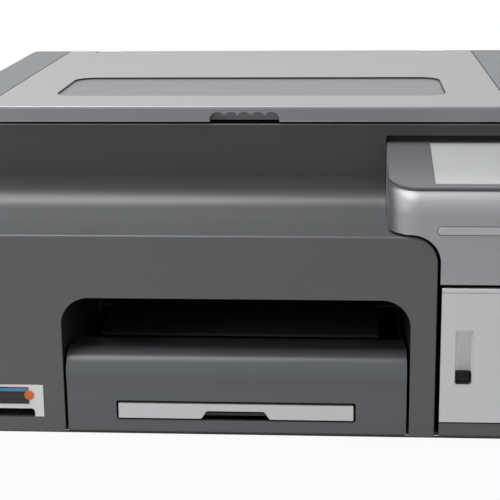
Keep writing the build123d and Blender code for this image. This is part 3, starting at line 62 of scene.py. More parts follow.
def makeCamera(look):
    # forward = (sin y cos p, cos y cos p, -sin p) for yaw y and pitch p, then roll about forward
    yaw, pitch, roll = look["turnRight"], look["lookDown"], look["roll"]
    ahead = Vector((sin(yaw) * cos(pitch), cos(yaw) * cos(pitch), -sin(pitch)))
    right = Vector((cos(yaw), -sin(yaw), 0))
    up = right.cross(ahead)
    side = cos(roll) * right + sin(roll) * up
    top = -sin(roll) * right + cos(roll) * up
    data = bpy.data.cameras.new("photoCamera")
    data.lens = look["lens"]
    data.sensor_width = look["sensor"]
    data.clip_start = look["nearest"]
    camera = bpy.data.objects.new("photoCamera", data)
    camera.matrix_world = Matrix.Translation(Vector(look["place"])) @ Matrix((
        (side.x, top.x, -ahead.x), (side.y, top.y, -ahead.y), (side.z, top.z, -ahead.z))).to_4x4()
    bpy.context.scene.collection.objects.link(camera)
    bpy.context.scene.camera = camera


makeCamera(cameraLook)
bpy.context.scene.view_settings.view_transform = "Standard"
print("camera ready")

# Studio: pale floor, white to the camera, and soft lamps
studioLook = {
    "floorSize": 6.0,
    "floorColour": (218, 218, 219),
    "floorRough": 0.9,
    "floorWhite": 0.92,                      # share of plain white that the camera sees in it
    "whiteReach": (0.45, 1.3),               # from here to there, metres, that share rises to all
    "worldStrength": 0.10,
    "aim": (0, 0, 0.1),                      # the point that all lamps face
    "topLamp": {"place": (-0.55, -0.36, 1.75), "size": (1.2, 1.2), "power": 28},
    "leftLamp": {"place": (-0.90, -0.86, 0.55), "size": (0.5, 0.5), "power": 2.2},
    "rightLamp": {"place": (1.4, -1.9, 1.2), "size": (0.5, 1.2), "power": 1.5},
}


def tone(red, green, blue):
    # linear value of a 0 to 255 screen colour: (c / 255) ^ 2.2, near enough to the sRGB curve
    return tuple((channel / 255) ** 2.2 for channel in (red, green, blue)) + (1.0,)


def gridMesh(name, points, closedU=False, closedV=False):
    # points[u, v] = (x, y, z); quads join each point to its neighbours along u and v
    rows, cols = points.shape[:2]
    index = np.arange(rows * cols).reshape(rows, cols)
    a = index if closedU else index[:-1]
    b = np.roll(index, -1, axis=0) if closedU else index[1:]
    if closedV:
        quads = np.stack([a, b, np.roll(b, -1, axis=1), np.roll(a, -1, axis=1)], axis=-1)
    else:
        quads = np.stack([a[:, :-1], b[:, :-1], b[:, 1:], a[:, 1:]], axis=-1)
    mesh = bpy.data.meshes.new(name)
    mesh.from_pydata(points.reshape(-1, 3).tolist(), [], quads.reshape(-1, 4).tolist())
    mesh.update()
    piece = bpy.data.objects.new(name, mesh)
    bpy.context.scene.collection.objects.link(piece)
    return piece


def plug(tree, value, socket):
    # another node's output is linked in, a plain value is set
    if isinstance(value, bpy.types.NodeSocket):
        tree.links.new(value, socket)
    else:
        socket.default_value = value


def mathNode(tree, operation, first, second):
    # one operation on two values
    node = tree.nodes.new("ShaderNodeMath")
    node.operation = operation
    plug(tree, first, node.inputs[0])
    plug(tree, second, node.inputs[1])
    return node.outputs[0]


def mixNode(tree, kind, share, first, second):
    # first * (1 - share) + second * share, for colours or for plain values
    node = tree.nodes.new("ShaderNodeMix")
    node.data_type = kind
    plug(tree, share, node.inputs["Factor"])
    plug(tree, first, node.inputs["A"])
    plug(tree, second, node.inputs["B"])
    return node.outputs["Result"]


def blendShaders(tree, share, first, second):
    # first where the share is 0 and second where it is 1
    blend = tree.nodes.new("ShaderNodeMixShader")
    tree.links.new(share, blend.inputs[0])
    tree.links.new(first.outputs[0], blend.inputs[1])
    tree.links.new(second.outputs[0], blend.inputs[2])
    return blend.outputs[0]


def seenDirectly(tree):
    # 1 for camera, glossy and transmission rays, so that they all meet the white background
    path = tree.nodes.new("ShaderNodeLightPath")
    straight = mathNode(tree, "MAXIMUM", path.outputs["Is Camera Ray"],
                        path.outputs["Is Transmission Ray"])
    return mathNode(tree, "MAXIMUM", straight, path.outputs["Is Glossy Ray"])


def makeFloor(look):
    # flat grid z = 0; its share of plain white rises by a smooth step with the distance from the
    # middle, and counts for the rays that are seen directly
    side = np.linspace(-look["floorSize"] / 2, look["floorSize"] / 2, 3)
    x, y = np.meshgrid(side, side, indexing="ij")
    floor = gridMesh("studioFloor", np.stack([x, y, 0 * x], axis=-1))
    material = bpy.data.materials.new("studioFloor")
    material.use_nodes = True
    tree = material.node_tree
    shader = tree.nodes["Principled BSDF"]
    shader.inputs["Base Color"].default_value = tone(*look["floorColour"])
    shader.inputs["Roughness"].default_value = look["floorRough"]
    place = tree.nodes.new("ShaderNodeTexCoord")
    reach = tree.nodes.new("ShaderNodeVectorMath")
    reach.operation = "LENGTH"
    tree.links.new(place.outputs["Object"], reach.inputs[0])
    rise = tree.nodes.new("ShaderNodeMapRange")
    rise.interpolation_type = "SMOOTHSTEP"
    nearest, farthest = look["whiteReach"]
    rise.inputs["From Min"].default_value = nearest
    rise.inputs["From Max"].default_value = farthest
    rise.inputs["To Min"].default_value = look["floorWhite"]
    tree.links.new(reach.outputs["Value"], rise.inputs["Value"])
    share = mathNode(tree, "MULTIPLY", seenDirectly(tree), rise.outputs["Result"])
    white = tree.nodes.new("ShaderNodeEmission")
    tree.links.new(blendShaders(tree, share, shader, white),
                   tree.nodes["Material Output"].inputs["Surface"])
    floor.data.materials.append(material)


def makeWorld(look):
    # faint even light on the machine, and plain white for the rays that are seen directly
    world = bpy.data.worlds.new("studioWorld")
    world.use_nodes = True
    tree = world.node_tree
    tree.nodes.clear()
    soft = tree.nodes.new("ShaderNodeBackground")
    soft.inputs["Strength"].default_value = look["worldStrength"]
    white = tree.nodes.new("ShaderNodeBackground")
    for light in (soft, white):
        light.inputs["Color"].default_value = (1, 1, 1, 1)
    out = tree.nodes.new("ShaderNodeOutputWorld")
    tree.links.new(blendShaders(tree, seenDirectly(tree), soft, white), out.inputs["Surface"])
    bpy.context.scene.world = world


def makeLamps(look):
    # rectangles of light, each turned to face the aim
    for name in ("topLamp", "leftLamp", "rightLamp"):
        lamp = look[name]
        data = bpy.data.lights.new(name, "AREA")
        data.shape = "RECTANGLE"
        data.size, data.size_y = lamp["size"]
        data.energy = lamp["power"]
        piece = bpy.data.objects.new(name, data)
        piece.location = lamp["place"]
        aim = Vector(look["aim"]) - Vector(lamp["place"])
        piece.rotation_euler = aim.to_track_quat("-Z", "Y").to_euler()
        bpy.context.scene.collection.objects.link(piece)


makeFloor(studioLook)
makeWorld(studioLook)
makeLamps(studioLook)
print("studio ready")

# Inks, and the levels at which they stand in the row of tanks
inkColours = {"black": (26, 26, 28), "cyan": (0, 140, 196), "magenta": (204, 28, 116),
              "yellow": (236, 200, 20), "white": (226, 226, 224)}
inkTanks = {"firstTank": (0.1405, 0.1549), "pitch": 0.01436, "level": 0.070, "drop": 0.006}


def inkZones(tanks):
    # one slice along x for each tank, up to a level that falls by 0, 2, 4, 1 and 3 drops
    zones = []
    for step, colour in enumerate(inkColours.values()):
        x = tuple(bound + tanks["pitch"] * step for bound in tanks["firstTank"])
        level = tanks["level"] - tanks["drop"] * (step * 2 % 5)
        zones.append(dict(box=(x, (None, None), (None, level)), colour=colour))
    return zones


# Finishes, by the record's slot: screen colour, roughness, metal share, grain size and depth.
# A zone is a box in metres, None where it has no bound, that takes its own colour or roughness.
# Its soft is an axis and the width over which the colour fades in from the bounds on that axis.
finishLooks = {
    "silver_panel": dict(colour=(164, 164, 166), rough=0.42, metal=0.30, grain=2600, depth=0.10),
    "silver_strip": dict(colour=(114, 117, 121), rough=0.45, metal=0.25, grain=2600, depth=0.10),
    "silver_recess": dict(colour=(122, 123, 127), rough=0.40, metal=0.20, grain=2600, depth=0.06),
    "housing_silver": dict(
        colour=(164, 165, 168), rough=0.44, metal=0.35, grain=2400, depth=0.10,
        # painted shade: the housing is darker along its left edge, fading out over 6.5 mm
        zones=[dict(box=((None, 0.1080), (None, -0.1480), (None, None)), soft=("X", 0.0065),
                    colour=(112, 113, 116)),                               # along its left edge
               dict(box=((0.1315, 0.2090), (None, -0.2095), (0.1434, 0.1492)),
                    colour=(184, 185, 188))]),                             # the power bar
    "door_silver": dict(colour=(198, 199, 201), rough=0.34, metal=0.60, grain=2400, depth=0.10),
    "lid_grey": dict(colour=(148, 149, 153), rough=0.36, metal=0.0, grain=1800, depth=0.20),
    "case_grey": dict(
        colour=(95, 97, 99), rough=0.34, metal=0.0, grain=1500, depth=0.12,
        # painted shade: the upper wall in a darker grey than the front, fading in over its lowest
        # centimetre
        zones=[dict(box=((None, None), (None, -0.1202), (0.1475, None)), soft=("Z", 0.010),
                    colour=(56, 58, 60)),                                  # the upper wall
               # painted shade: near black in the recess behind the housing, under the wall's top
               # strip
               dict(box=((0.1005, 0.2175), (-0.1225, -0.1140), (None, 0.1955)),
                    colour=(30, 30, 31), rough=0.75)]),                    # behind the housing
    "tray_grey": dict(colour=(97, 100, 103), rough=0.30, metal=0.0, grain=1500, depth=0.12),
    "bezel_grey": dict(colour=(114, 115, 119), rough=0.32, metal=0.0, grain=1500, depth=0.15),
    "display_grey": dict(colour=(202, 204, 205), rough=0.18, metal=0.0, grain=300, depth=0.0),
    "inner_dark": dict(colour=(46, 46, 48), rough=0.55, metal=0.0, grain=1200, depth=0.35),
    "card_white": dict(colour=(251, 251, 251), rough=0.45, metal=0.0, grain=1800, depth=0.10),
    "frame_steel": dict(colour=(160, 162, 165), rough=0.35, metal=0.9, grain=900, depth=0.10),
    "shaft_steel": dict(colour=(185, 186, 190), rough=0.16, metal=1.0, grain=900, depth=0.03),
    "motor_metal": dict(colour=(140, 141, 144), rough=0.38, metal=0.9, grain=900, depth=0.10),
    "supply_metal": dict(colour=(170, 172, 173), rough=0.40, metal=0.85, grain=700, depth=0.15),
    "gear_white": dict(colour=(222, 219, 208), rough=0.40, metal=0.0, grain=900, depth=0.06),
    "roller_rubber": dict(colour=(52, 52, 53), rough=0.85, metal=0.0, grain=2200, depth=0.60),
    "seal_rubber": dict(colour=(40, 40, 42), rough=0.75, metal=0.0, grain=1600, depth=0.30),
    "feet_rubber": dict(colour=(34, 34, 35), rough=0.85, metal=0.0, grain=1200, depth=0.50),
    "belt_rubber": dict(colour=(30, 30, 31), rough=0.75, metal=0.0, grain=1400, depth=0.40),
    "board_green": dict(colour=(28, 92, 52), rough=0.30, metal=0.0, grain=500, depth=0.10),
    "socket_black": dict(colour=(30, 30, 31), rough=0.50, metal=0.0, grain=1200, depth=0.20),
    "tank_clear": dict(colour=(205, 208, 205), rough=0.30, metal=0.0, grain=600, depth=0.10,
                       zones=inkZones(inkTanks)),
    "cap_black": dict(colour=(38, 38, 39), rough=0.45, metal=0.0, grain=1200, depth=0.20),
    "trim_black": dict(colour=(30, 30, 32), rough=0.55, metal=0.0, grain=1200, depth=0.10),
    # painted highlight: a light grey for the beads on the lid's and the wall's edges
    "edge_light": dict(colour=(150, 152, 155), rough=0.40, metal=0.0, grain=1500, depth=0.05),
    "flap_print": dict(
        colour=(34, 31, 33), rough=0.35, metal=0.0, grain=900, depth=0.03,
        zones=[dict(box=((-0.1600, None), (None, None), (0.0321, None)), colour=(150, 40, 92)),
               dict(box=((-0.1660, None), (None, None), (0.0300, 0.0321)), colour=(62, 150, 200)),
               dict(box=((-0.1720, -0.1660), (None, None), (0.0296, 0.0312)),
                    colour=(120, 150, 160)),
               dict(box=((None, -0.1700), (None, None), (0.0306, 0.0309)), colour=(120, 74, 52)),
               dict(box=((None, -0.1500), (None, None), (0.0262, 0.0265)), colour=(104, 62, 46)),
               dict(box=((None, -0.1800), (None, None), (None, 0.0216)), colour=(84, 70, 150))]),
    "disc_orange": dict(colour=(232, 120, 52), rough=0.38, metal=0.0, grain=900, depth=0.05),
    "screw_steel": dict(colour=(150, 151, 154), rough=0.30, metal=0.9, grain=1500, depth=0.10),
    "pocket_silver": dict(
        colour=(246, 247, 248), rough=0.30, metal=0.0, grain=900, depth=0.04,
        # painted shade: near black at the foot of the finger pocket
        zones=[dict(box=((None, None), (-0.2062, None), (None, 0.0460)),
                    colour=(18, 18, 19), rough=0.6)]),                     # the shade at its foot
}
for name, colour in inkColours.items():
    finishLooks["cap_" + name] = dict(finishLooks["cap_black"], colour=colour)

# Noise that all finishes share
noiseLook = {
    "cloudScale": 22, "cloudDetail": 4,      # slow noise, for colour and roughness
    "spread": 0.05,                          # share by which it darkens and lightens the colour
    "smoother": 0.04, "rougher": 0.05,       # how far it takes the roughness down and up
    "grainDetail": 2,
    "grainHeight": 0.0001,                   # metres, height of the fine noise at a depth of 1
}


def zoneMask(tree, axes, zone):
    # 1 inside the box and 0 outside: the product of one comparison for each bound; along a soft
    # axis it rises by a smooth step of a given width inside the bound instead
    mask = None
    softAxis, softWidth = zone.get("soft", (None, None))
    for axis, bounds in zip("XYZ", zone["box"]):
        for bound, operation in zip(bounds, ("GREATER_THAN", "LESS_THAN")):
            if bound is None:
                continue
            if axis == softAxis:
                fade = tree.nodes.new("ShaderNodeMapRange")
                fade.interpolation_type = "SMOOTHSTEP"
                fade.inputs["From Min"].default_value = bound
                inward = softWidth if operation == "GREATER_THAN" else -softWidth
                fade.inputs["From Max"].default_value = bound + inward
                tree.links.new(axes.outputs[axis], fade.inputs["Value"])
                test = fade.outputs["Result"]
            else:
                test = mathNode(tree, operation, axes.outputs[axis], bound)
            mask = test if mask is None else mathNode(tree, "MULTIPLY", mask, test)
    return mask


def noiseNode(tree, place, scale, detail):
    # noise over the piece's own coordinates
    node = tree.nodes.new("ShaderNodeTexNoise")
    node.inputs["Scale"].default_value = scale
    node.inputs["Detail"].default_value = detail
    tree.links.new(place, node.inputs["Vector"])
    return node.outputs["Fac"]


def makeFinish(name, look, noise):
    # slow noise clouds the colour and the roughness, fine noise makes the grain as a bump, and each
    # zone's mask swaps in its own colour and roughness
    material = bpy.data.materials.new(name)
    material.use_nodes = True
    tree = material.node_tree
    shader = tree.nodes["Principled BSDF"]
    shader.inputs["Metallic"].default_value = look["metal"]
    place = tree.nodes.new("ShaderNodeTexCoord").outputs["Object"]
    cloud = noiseNode(tree, place, noise["cloudScale"], noise["cloudDetail"])

    def shaded(screenColour):
        # the colour a little darker and a little lighter, blended by the slow noise
        plain = tone(*screenColour)[:3]
        darker = tuple(channel * (1 - noise["spread"]) for channel in plain) + (1,)
        lighter = tuple(min(1, channel * (1 + noise["spread"])) for channel in plain) + (1,)
        return mixNode(tree, "RGBA", cloud, darker, lighter)

    colour = shaded(look["colour"])
    rub = tree.nodes.new("ShaderNodeMapRange")
    rub.inputs["To Min"].default_value = look["rough"] - noise["smoother"]
    rub.inputs["To Max"].default_value = look["rough"] + noise["rougher"]
    tree.links.new(cloud, rub.inputs["Value"])
    rough = rub.outputs["Result"]
    axes = tree.nodes.new("ShaderNodeSeparateXYZ")
    tree.links.new(place, axes.inputs[0])
    for zone in look.get("zones", ()):
        mask = zoneMask(tree, axes, zone)
        colour = mixNode(tree, "RGBA", mask, colour, shaded(zone["colour"]))
        if "rough" in zone:
            rough = mixNode(tree, "FLOAT", mask, rough, zone["rough"])
    tree.links.new(colour, shader.inputs["Base Color"])
    tree.links.new(rough, shader.inputs["Roughness"])
    grain = noiseNode(tree, place, look["grain"], noise["grainDetail"])
    bump = tree.nodes.new("ShaderNodeBump")
    bump.inputs["Strength"].default_value = look["depth"]
    bump.inputs["Distance"].default_value = noise["grainHeight"]
    tree.links.new(grain, bump.inputs["Height"])
    tree.links.new(bump.outputs["Normal"], shader.inputs["Normal"])
    return material


finishes = {name: makeFinish(name, look, noiseLook) for name, look in finishLooks.items()}


def smooth(piece, angle=None):
    # shade the whole piece smoothly, or by angle in degrees where it has sharp edges
    mesh = piece.data
    mesh.polygons.foreach_set("use_smooth", np.ones(len(mesh.polygons), dtype=bool))
    if angle:
        mesh.set_sharp_from_angle(angle=radians(angle))
    return piece


def finishPiece(piece, body, finish):
    # the piece takes its finish and rides on its body
    piece.data.materials.append(finishes[finish])
    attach(piece, body)


# Distances in metres within which doubled points merge and flat faces dissolve
mendReach = {"doubled": 1e-6, "flat": 1e-7}


def tidy(piece):
    # merge doubled points and turn all faces outwards
    mesh = bmesh.new()
    mesh.from_mesh(piece.data)
    bmesh.ops.remove_doubles(mesh, verts=mesh.verts, dist=mendReach["doubled"])
    bmesh.ops.dissolve_degenerate(mesh, edges=mesh.edges, dist=mendReach["flat"])
    bmesh.ops.recalc_face_normals(mesh, faces=mesh.faces)
    mesh.to_mesh(piece.data)
    mesh.free()
    return piece


def join(name, pieces):
    # one mesh from several, each already in its place
    mesh = bmesh.new()
    for piece in pieces:
        mesh.from_mesh(piece.data)
        bpy.data.objects.remove(piece)
    data = bpy.data.meshes.new(name)
    mesh.to_mesh(data)
    mesh.free()
    piece = bpy.data.objects.new(name, data)
    bpy.context.scene.collection.objects.link(piece)
    return piece


def ringPath(x, y, corner, steps=8, frontCorner=None):
    # rounded rectangle in plan: straight sides joined by quarter circles, middle + radius * normal,
    # as points and outward normals
    turn = np.linspace(0, pi / 2, steps)
    frontCorner = frontCorner or corner
    corners = (corner, corner, frontCorner, frontCorner)
    points, outward = [], []
    for number, (sideX, sideY) in enumerate(((1, 1), (0, 1), (0, 0), (1, 0))):
        radius = corners[number]
        middle = np.array([x[sideX] - (2 * sideX - 1) * radius,
                           y[sideY] - (2 * sideY - 1) * radius, 0])
        angle = turn + number * pi / 2
        normal = np.stack([np.cos(angle), np.sin(angle), 0 * angle], axis=-1)
        points.append(middle + radius * normal)
        outward.append(normal)
    return np.concatenate(points), np.concatenate(outward)


def band(name, x, y, z, thick, corner, frontCorner=None):
    # upright band: an oblong section, as thick as given and from z0 to z1, carried round a rounded
    # rectangle in plan
    path, outward = ringPath(x, y, corner, frontCorner=frontCorner)
    section = np.array([(0, z[0]), (0, z[1]), (-thick, z[1]), (-thick, z[0])])
    points = path[:, None, :] + section[None, :, :1] * outward[:, None, :]
    points = points + np.array([0, 0, 1]) * section[None, :, 1:]
    return tidy(gridMesh(name, points, closedU=True, closedV=True))


def capped(name, points):
    # grid closed along v, with both of its end loops filled by a fan to their middle
    sides = points.shape[1]
    first = np.repeat(points[:1].mean(axis=1, keepdims=True), sides, axis=1)
    last = np.repeat(points[-1:].mean(axis=1, keepdims=True), sides, axis=1)
    return gridMesh(name, np.concatenate([first, points, last]), closedV=True)


def bar(name, x, y, z):
    # plain box between two bounds along each axis: its four upright corners carried from z0 to z1
    ring = np.array([(x[0], y[0]), (x[1], y[0]), (x[1], y[1]), (x[0], y[1])])
    points = np.stack([np.column_stack([ring, np.full(4, height)]) for height in z])
    return tidy(capped(name, points))


def acrossAxis(axis):
    # two unit vectors square to a unit axis and to each other, by cross products
    first = np.cross(axis, (0, 0, 1) if abs(axis[2]) < 0.9 else (1, 0, 0))
    first /= np.linalg.norm(first)
    return first, np.cross(axis, first)


def turned(name, centre, axis, profile, sides, ridge=None):
    # surface of revolution: profile rows of (radius, height) turned round an axis; with a ridge, a
    # row's third number scales a wave depth * cos(count * angle) that is added to its radius
    axis = np.array(axis, dtype=float)
    first, second = acrossAxis(axis)
    angle = np.linspace(0, 2 * pi, sides, endpoint=False)
    profile = np.array(profile, dtype=float)
    radius = np.repeat(profile[:, :1], sides, axis=1)
    if ridge:
        radius = radius + profile[:, 2:3] * ridge["depth"] * np.cos(ridge["count"] * angle)
    points = (np.array(centre) + radius[..., None] * (np.cos(angle)[:, None] * first
              + np.sin(angle)[:, None] * second) + profile[:, 1][:, None, None] * axis)
    return tidy(capped(name, points))


def bead(name, start, end, radius, sides):
    # a round rod from start to end, its ends drawn in to half the radius
    start, end = np.array(start), np.array(end)
    length = np.linalg.norm(end - start)
    rows = [(radius * 0.5, 0), (radius, radius), (radius, length - radius), (radius * 0.5, length)]
    return turned(name, start, (end - start) / length, rows, sides)


# Dark band on the inside wall of the lid's sunken window
windowDarkBand = {
    "thick": 0.0005, "corner": 0.0158,
    "reach": 0.0001,                         # how far it passes the sunken panel's sides
    "low": 0.0001, "top": 0.00008,           # below the sunken panel's face and the top panel's
}


def makeWindowDarkBand(look):
    # a thin upright band carried round the window's rounded outline, just inside its wall
    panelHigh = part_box("lid_top_panel")[1]
    floorLow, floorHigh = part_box("lid_recess_panel")
    x = (floorLow.x - look["reach"], floorHigh.x + look["reach"])
    y = (floorLow.y - look["reach"], floorHigh.y + look["reach"])
    z = (floorHigh.z - look["low"], panelHigh.z - look["top"])
    trim = band("windowDarkBand", x, y, z, look["thick"], look["corner"])
    finishPiece(trim, "lid", "trim_black")


# Plate on the card flap: a strip of plain printed bars, with a disc at its end
flapPlate = {
    "x": (-0.2040, -0.1454), "z": (0.0208, 0.0331), "thick": 0.0004, "corner": 0.0006,
    "rim": ((0, 0), (0, 0.7), (-0.25, 1.0)),              # out and forward, in thicknesses
}
flapDisc = {
    "centre": (-0.1451, 0.0272), "radius": 0.00335, "thick": 0.0007, "sides": 40,
    "profile": ((1, 0), (1, 0.6), (0.93, 1), (0.5, 1.05)),   # shares of radius and thickness
}


def makeFlapPlate(plate, disc):
    # plate: rounded rectangle stood upright and lofted forward along its rim's rows; disc: a turned
    # button
    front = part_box("card_bay_cover")[0].y
    path, outward = ringPath(plate["x"], plate["z"], plate["corner"], steps=5)
    path, outward = path[:, [0, 2, 1]], outward[:, [0, 2, 1]]
    rise = np.array(plate["rim"]) * plate["thick"]
    points = path[None] + rise[:, :1, None] * outward[None]
    points = points + np.array([0, -1, 0]) * rise[:, 1:, None] + np.array([0, front, 0])
    finishPiece(tidy(capped("flapPlate", points)), "card_flap", "flap_print")
    centre = (disc["centre"][0], front, disc["centre"][1])
    rows = np.array(disc["profile"]) * (disc["radius"], disc["thick"])
    button = turned("flapDisc", centre, (0, -1, 0), rows, disc["sides"])
    finishPiece(smooth(button, angle=35), "card_flap", "disc_orange")


# Ribbed caps on the ink tanks, one colour each
tankCap = {
    "ribs": 24, "depth": 0.00022, "sides": 96,
    "profile": ((0.96, 0, 0), (0.98, 0.12, 0), (1, 0.16, 0), (1, 0.2, 1), (1, 0.84, 1),
                (0.985, 0.9, 0.4), (0.95, 0.95, 0), (0.8, 0.985, 0), (0.78, 0.955, 0),
                (0.3, 0.955, 0)),            # shares of radius, height and ribbing
}


def makeTankCaps(look):
    # each cap is a turned profile whose skirt radius waves round the axis, above a smooth collar
    low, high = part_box("ink_tank_caps")
    radius, height = (high.y - low.y) / 2, high.z - low.z
    rows = np.array(look["profile"]) * (radius - look["depth"], height, 1)
    ridge = {"count": look["ribs"], "depth": look["depth"]}
    places = np.linspace(low.x + radius, high.x - radius, len(inkColours))
    for x, colour in zip(places, inkColours):
        cap = turned(colour + "TankCap", (x, (low.y + high.y) / 2, low.z), (0, 0, 1), rows,
                     look["sides"], ridge)
        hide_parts("ink_tank_caps")
        finishPiece(smooth(cap, angle=30), "chassis", "cap_" + colour)


# Painted shade: dark filling of the lid's two seams, between its top panel and its side strips, for
# the shade inside them
seamShadeLook = {
    "deep": 0.0007,                          # its face, below the panel's
    "reach": 0.0001,                         # how far it passes its neighbours' sides and foot
    "front": 0.0003, "rear": 0.0045,         # its ends, in from the panel's
}


def makeSeamShade(look):
    # plain boxes, one on each side of x = 0
    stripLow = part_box("lid_strip_right")[0]
    panelLow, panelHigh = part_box("lid_top_panel")
    y = (panelLow.y + look["front"], panelHigh.y - look["rear"])
    z = (panelLow.z - look["reach"], panelHigh.z - look["deep"])
    seams = []
    for side in (-1, 1):
        x = sorted((side * (panelHigh.x - look["reach"]), side * (stripLow.x + look["reach"])))
        seams.append(bar("lidSeam", x, y, z))
    finishPiece(join("lidSeams", seams), "lid", "trim_black")


# Beads on the lid's lower front edge, to both sides of its grip, and on the wall's top edge, in a
# light finish that paints a highlight along these edges
highlightBeadLook = {
    "radius": 0.00045, "sides": 10,
    "inside": 0.6,                           # their axes lie this share of the radius within a face
    "lidEnd": 0.006, "wallEnd": 0.0005,      # their ends, in from the lid's and the wall's
    "grip": (-0.0245, 0.0249),               # the grip's sides
    "wallFace": -0.1230,                     # the wall's front face
}


def makeHighlightBeads(look):
    # round rods along x, so that a bead's centre line has one y and one z
    radius, sides = look["radius"], look["sides"]
    inside = radius * look["inside"]
    shellLow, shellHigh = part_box("lid_shell")
    y, z = shellLow.y + inside, shellLow.z + inside
    spans = ((shellLow.x + look["lidEnd"], look["grip"][0]),
             (look["grip"][1], shellHigh.x - look["lidEnd"]))
    beads = [bead("lidBead", (start, y, z), (end, y, z), radius, sides) for start, end in spans]
    finishPiece(smooth(join("lidBeads", beads), angle=40), "lid", "edge_light")
    coverLow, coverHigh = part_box("front_cover")
    y, z = look["wallFace"] + inside, coverHigh.z - inside
    rim = bead("wallBead", (coverLow.x + look["wallEnd"], y, z),
               (coverHigh.x - look["wallEnd"], y, z), radius, sides)
    finishPiece(smooth(rim, angle=40), "chassis", "edge_light")


# Painted shade: a dark skirt under the case, for the shadow in the gap between the case and the
# floor
underShadeLook = {"top": 0.0013, "low": 0.00012, "inset": 0.00015, "thick": 0.0012,
             "corner": 0.0121, "frontCorner": 0.0022}


def makeUnderShade(look):
    # upright band carried round the case's outline, a little inside it
    coverLow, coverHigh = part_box("front_cover")
    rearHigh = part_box("rear_cover")[1]
    x = (coverLow.x + look["inset"], coverHigh.x - look["inset"])
    y = (coverLow.y + look["inset"], rearHigh.y - look["inset"])
    skirt = band("baseShadeSkirt", x, y, (look["low"], look["top"]), look["thick"], look["corner"],
                 look["frontCorner"])
    finishPiece(skirt, "chassis", "trim_black")


# Painted shade: a dark rim round the power bar, in the gap between it and the housing, for the
# shade in that gap
barShadeRing = {
    "half": 0.00022, "rise": 0.00012,        # half the section's width and depth
    "lean": 0.0030 / 0.0480,                 # how far the housing's face comes forward as it rises
    "clear": 0.00018,                        # from the bar's side to the section's middle
    "flange": 0.0015,                        # the bar's hidden flange, which its box includes
    "roundShare": 0.999,                     # of half the height, so that the arcs don't meet
}


def makeBarShadeRing(look):
    # a small oblong section carried round the bar's stadium outline; y follows the leaning face,
    # y(z) = flat - lean * (z - foot)
    low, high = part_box("power_bar")
    foot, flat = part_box("control_housing")[0].z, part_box("ink_door")[0].y
    grow = look["clear"] - look["flange"]
    corner = ((high.z - low.z) / 2 + grow) * look["roundShare"]
    path, outward = ringPath((low.x - grow, high.x + grow), (low.z - grow, high.z + grow), corner,
                             steps=12)
    section = np.array([(-1, -1), (1, -1), (1, 1), (-1, 1)]) * (look["half"], look["rise"])
    across = path[:, None, :2] + section[None, :, :1] * outward[:, None, :2]
    x, z = across[..., 0], across[..., 1]
    y = flat - look["lean"] * (z - foot) + section[None, :, 1]
    rim = gridMesh("barShadeRing", np.stack([x, y, z], axis=-1), closedU=True, closedV=True)
    finishPiece(tidy(rim), "chassis", "trim_black")


# Screws: pan heads with a cross slot
screwLook = {
    "head": 0.0032, "rings": 13, "sides": 48,
    "rise": 0.0011, "baseRise": 0.0008,      # heights: on the rear and the deck, under the base
    "fall": 0.75,                            # share of the height that is lost at the head's edge
    "slot": 0.00042, "deep": 0.0007,         # half the slot's width, and its depth
    "slotReach": 0.62,                       # share of the head's radius that the slot takes up
    "deckSunk": 0.00185,                     # the deck's screws stand this far below its top
    "rear": ((-0.205, 0.020), (-0.205, 0.185), (0.205, 0.020), (0.205, 0.185),
             (-0.110, 0.148), (0.110, 0.148), (0.1445, 0.030), (0.1835, 0.030)),      # x and z
    "deck": [(x, y) for x in (-0.195, 0.204) for y in (-0.075, 0.03, 0.135)],
    "base": [(x, y) for x in (-0.15, 0.0, 0.15) for y in (-0.185, 0.19)],
}


def crossHead(name, centre, normal, rise, look):
    # pan head: height = rise * (1 - fall * (r / head)^4), less the slot's depth inside a cross
    # |u| < slot or |v| < slot
    normal = np.array(normal, dtype=float)
    first, second = acrossAxis(normal)
    radius = np.linspace(0, look["head"], look["rings"])[:, None]
    angle = np.linspace(0, 2 * pi, look["sides"], endpoint=False)[None, :]
    u, v = radius * np.cos(angle), radius * np.sin(angle)
    height = rise * (1 - look["fall"] * (radius / look["head"]) ** 4) * np.ones_like(u)
    inCross = (np.abs(u) < look["slot"]) | (np.abs(v) < look["slot"])
    inCross = inCross & (radius < look["head"] * look["slotReach"])
    height = height - look["deep"] * inCross
    flat = np.array(centre) + u[..., None] * first + v[..., None] * second
    return tidy(capped(name, np.concatenate([flat + height[..., None] * normal, flat[-1:]])))


def makeScrews(look):
    # on the rear cover, on the deck beneath the lid and under the base
    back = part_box("rear_cover")[1].y
    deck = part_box("top_deck")[1].z - look["deckSunk"]
    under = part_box("base_pan")[0].z
    groups = (
        ("rear", (0, 1, 0), look["rise"], [(x, back, z) for x, z in look["rear"]]),
        ("deck", (0, 0, 1), look["rise"], [(x, y, deck) for x, y in look["deck"]]),
        ("base", (0, 0, -1), look["baseRise"], [(x, y, under) for x, y in look["base"]]),
    )
    for group, normal, rise, places in groups:
        heads = [crossHead(group + "Screw", place, normal, rise, look) for place in places]
        screws = smooth(join(group + "Screws", heads), angle=30)
        finishPiece(screws, "chassis", "screw_steel")


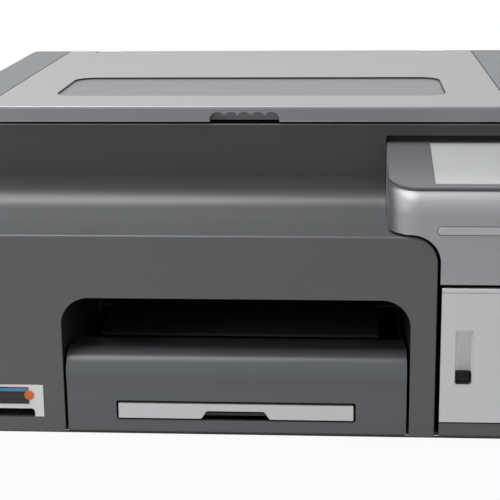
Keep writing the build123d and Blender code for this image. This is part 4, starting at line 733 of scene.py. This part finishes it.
# Lining of the ink door's finger pocket: a deep cup with softened walls
pocketLining = {
    "x": (0.1462, 0.1578), "z": (0.0385, 0.0775),
    "front": -0.2070, "deep": 0.0095,        # the door's face and the pocket's depth
    "wall": 0.0003, "back": 0.0004,          # clear of the pocket's walls and of its back
    "start": 0.0003, "thick": 0.0002,        # behind the door's face, and its own thickness
    "steps": 41,
    "softX": 6.0, "softZ": 14.0,             # powers of the cup's walls, squarer when higher
    "cornerPull": 0.06, "cornerPower": 8,    # the corners are drawn in by this share
}


def makePocketLining(look):
    # depth = full depth * (1 - |u|^a)^(1/a) * (1 - |v|^b)^(1/b) for u and v from -1 to 1 over the
    # pocket, and both sides are drawn in by a share pull * |u v|^power
    (x0, x1), (z0, z1) = look["x"], look["z"]
    half = ((x1 - x0) / 2 - look["wall"], (z1 - z0) / 2 - look["wall"])
    middle = ((x0 + x1) / 2, (z0 + z1) / 2)
    spread = np.sin(np.linspace(-pi / 2, pi / 2, look["steps"]))
    u, v = np.meshgrid(spread, spread, indexing="ij")
    fall = (1 - np.abs(u) ** look["softX"]) ** (1 / look["softX"])
    fall = fall * (1 - np.abs(v) ** look["softZ"]) ** (1 / look["softZ"])
    depth = (look["deep"] - look["back"]) * fall
    corner = 1 - look["cornerPull"] * (np.abs(u) * np.abs(v)) ** look["cornerPower"]
    points = np.stack([middle[0] + half[0] * u * corner, look["front"] + look["start"] + depth,
                       middle[1] + half[1] * v * corner], axis=-1)
    lining = gridMesh("pocketLining", points)
    wall = lining.modifiers.new("wall", "SOLIDIFY")
    wall.thickness = look["thick"]
    finishPiece(smooth(lining), "ink_door_leaf", "pocket_silver")


makeWindowDarkBand(windowDarkBand)
makeFlapPlate(flapPlate, flapDisc)
makeTankCaps(tankCap)
makeSeamShade(seamShadeLook)
makeHighlightBeads(highlightBeadLook)
makeUnderShade(underShadeLook)
makeBarShadeRing(barShadeRing)
makeScrews(screwLook)
makePocketLining(pocketLining)
print("small pieces ready")

for part in frame["record"]["subparts"]:
    piece = nodes[part["node"]]
    piece.data.materials.clear()
    piece.data.materials.append(finishes[part["material_slot"]])
print("finishes on", len(nodes), "parts")
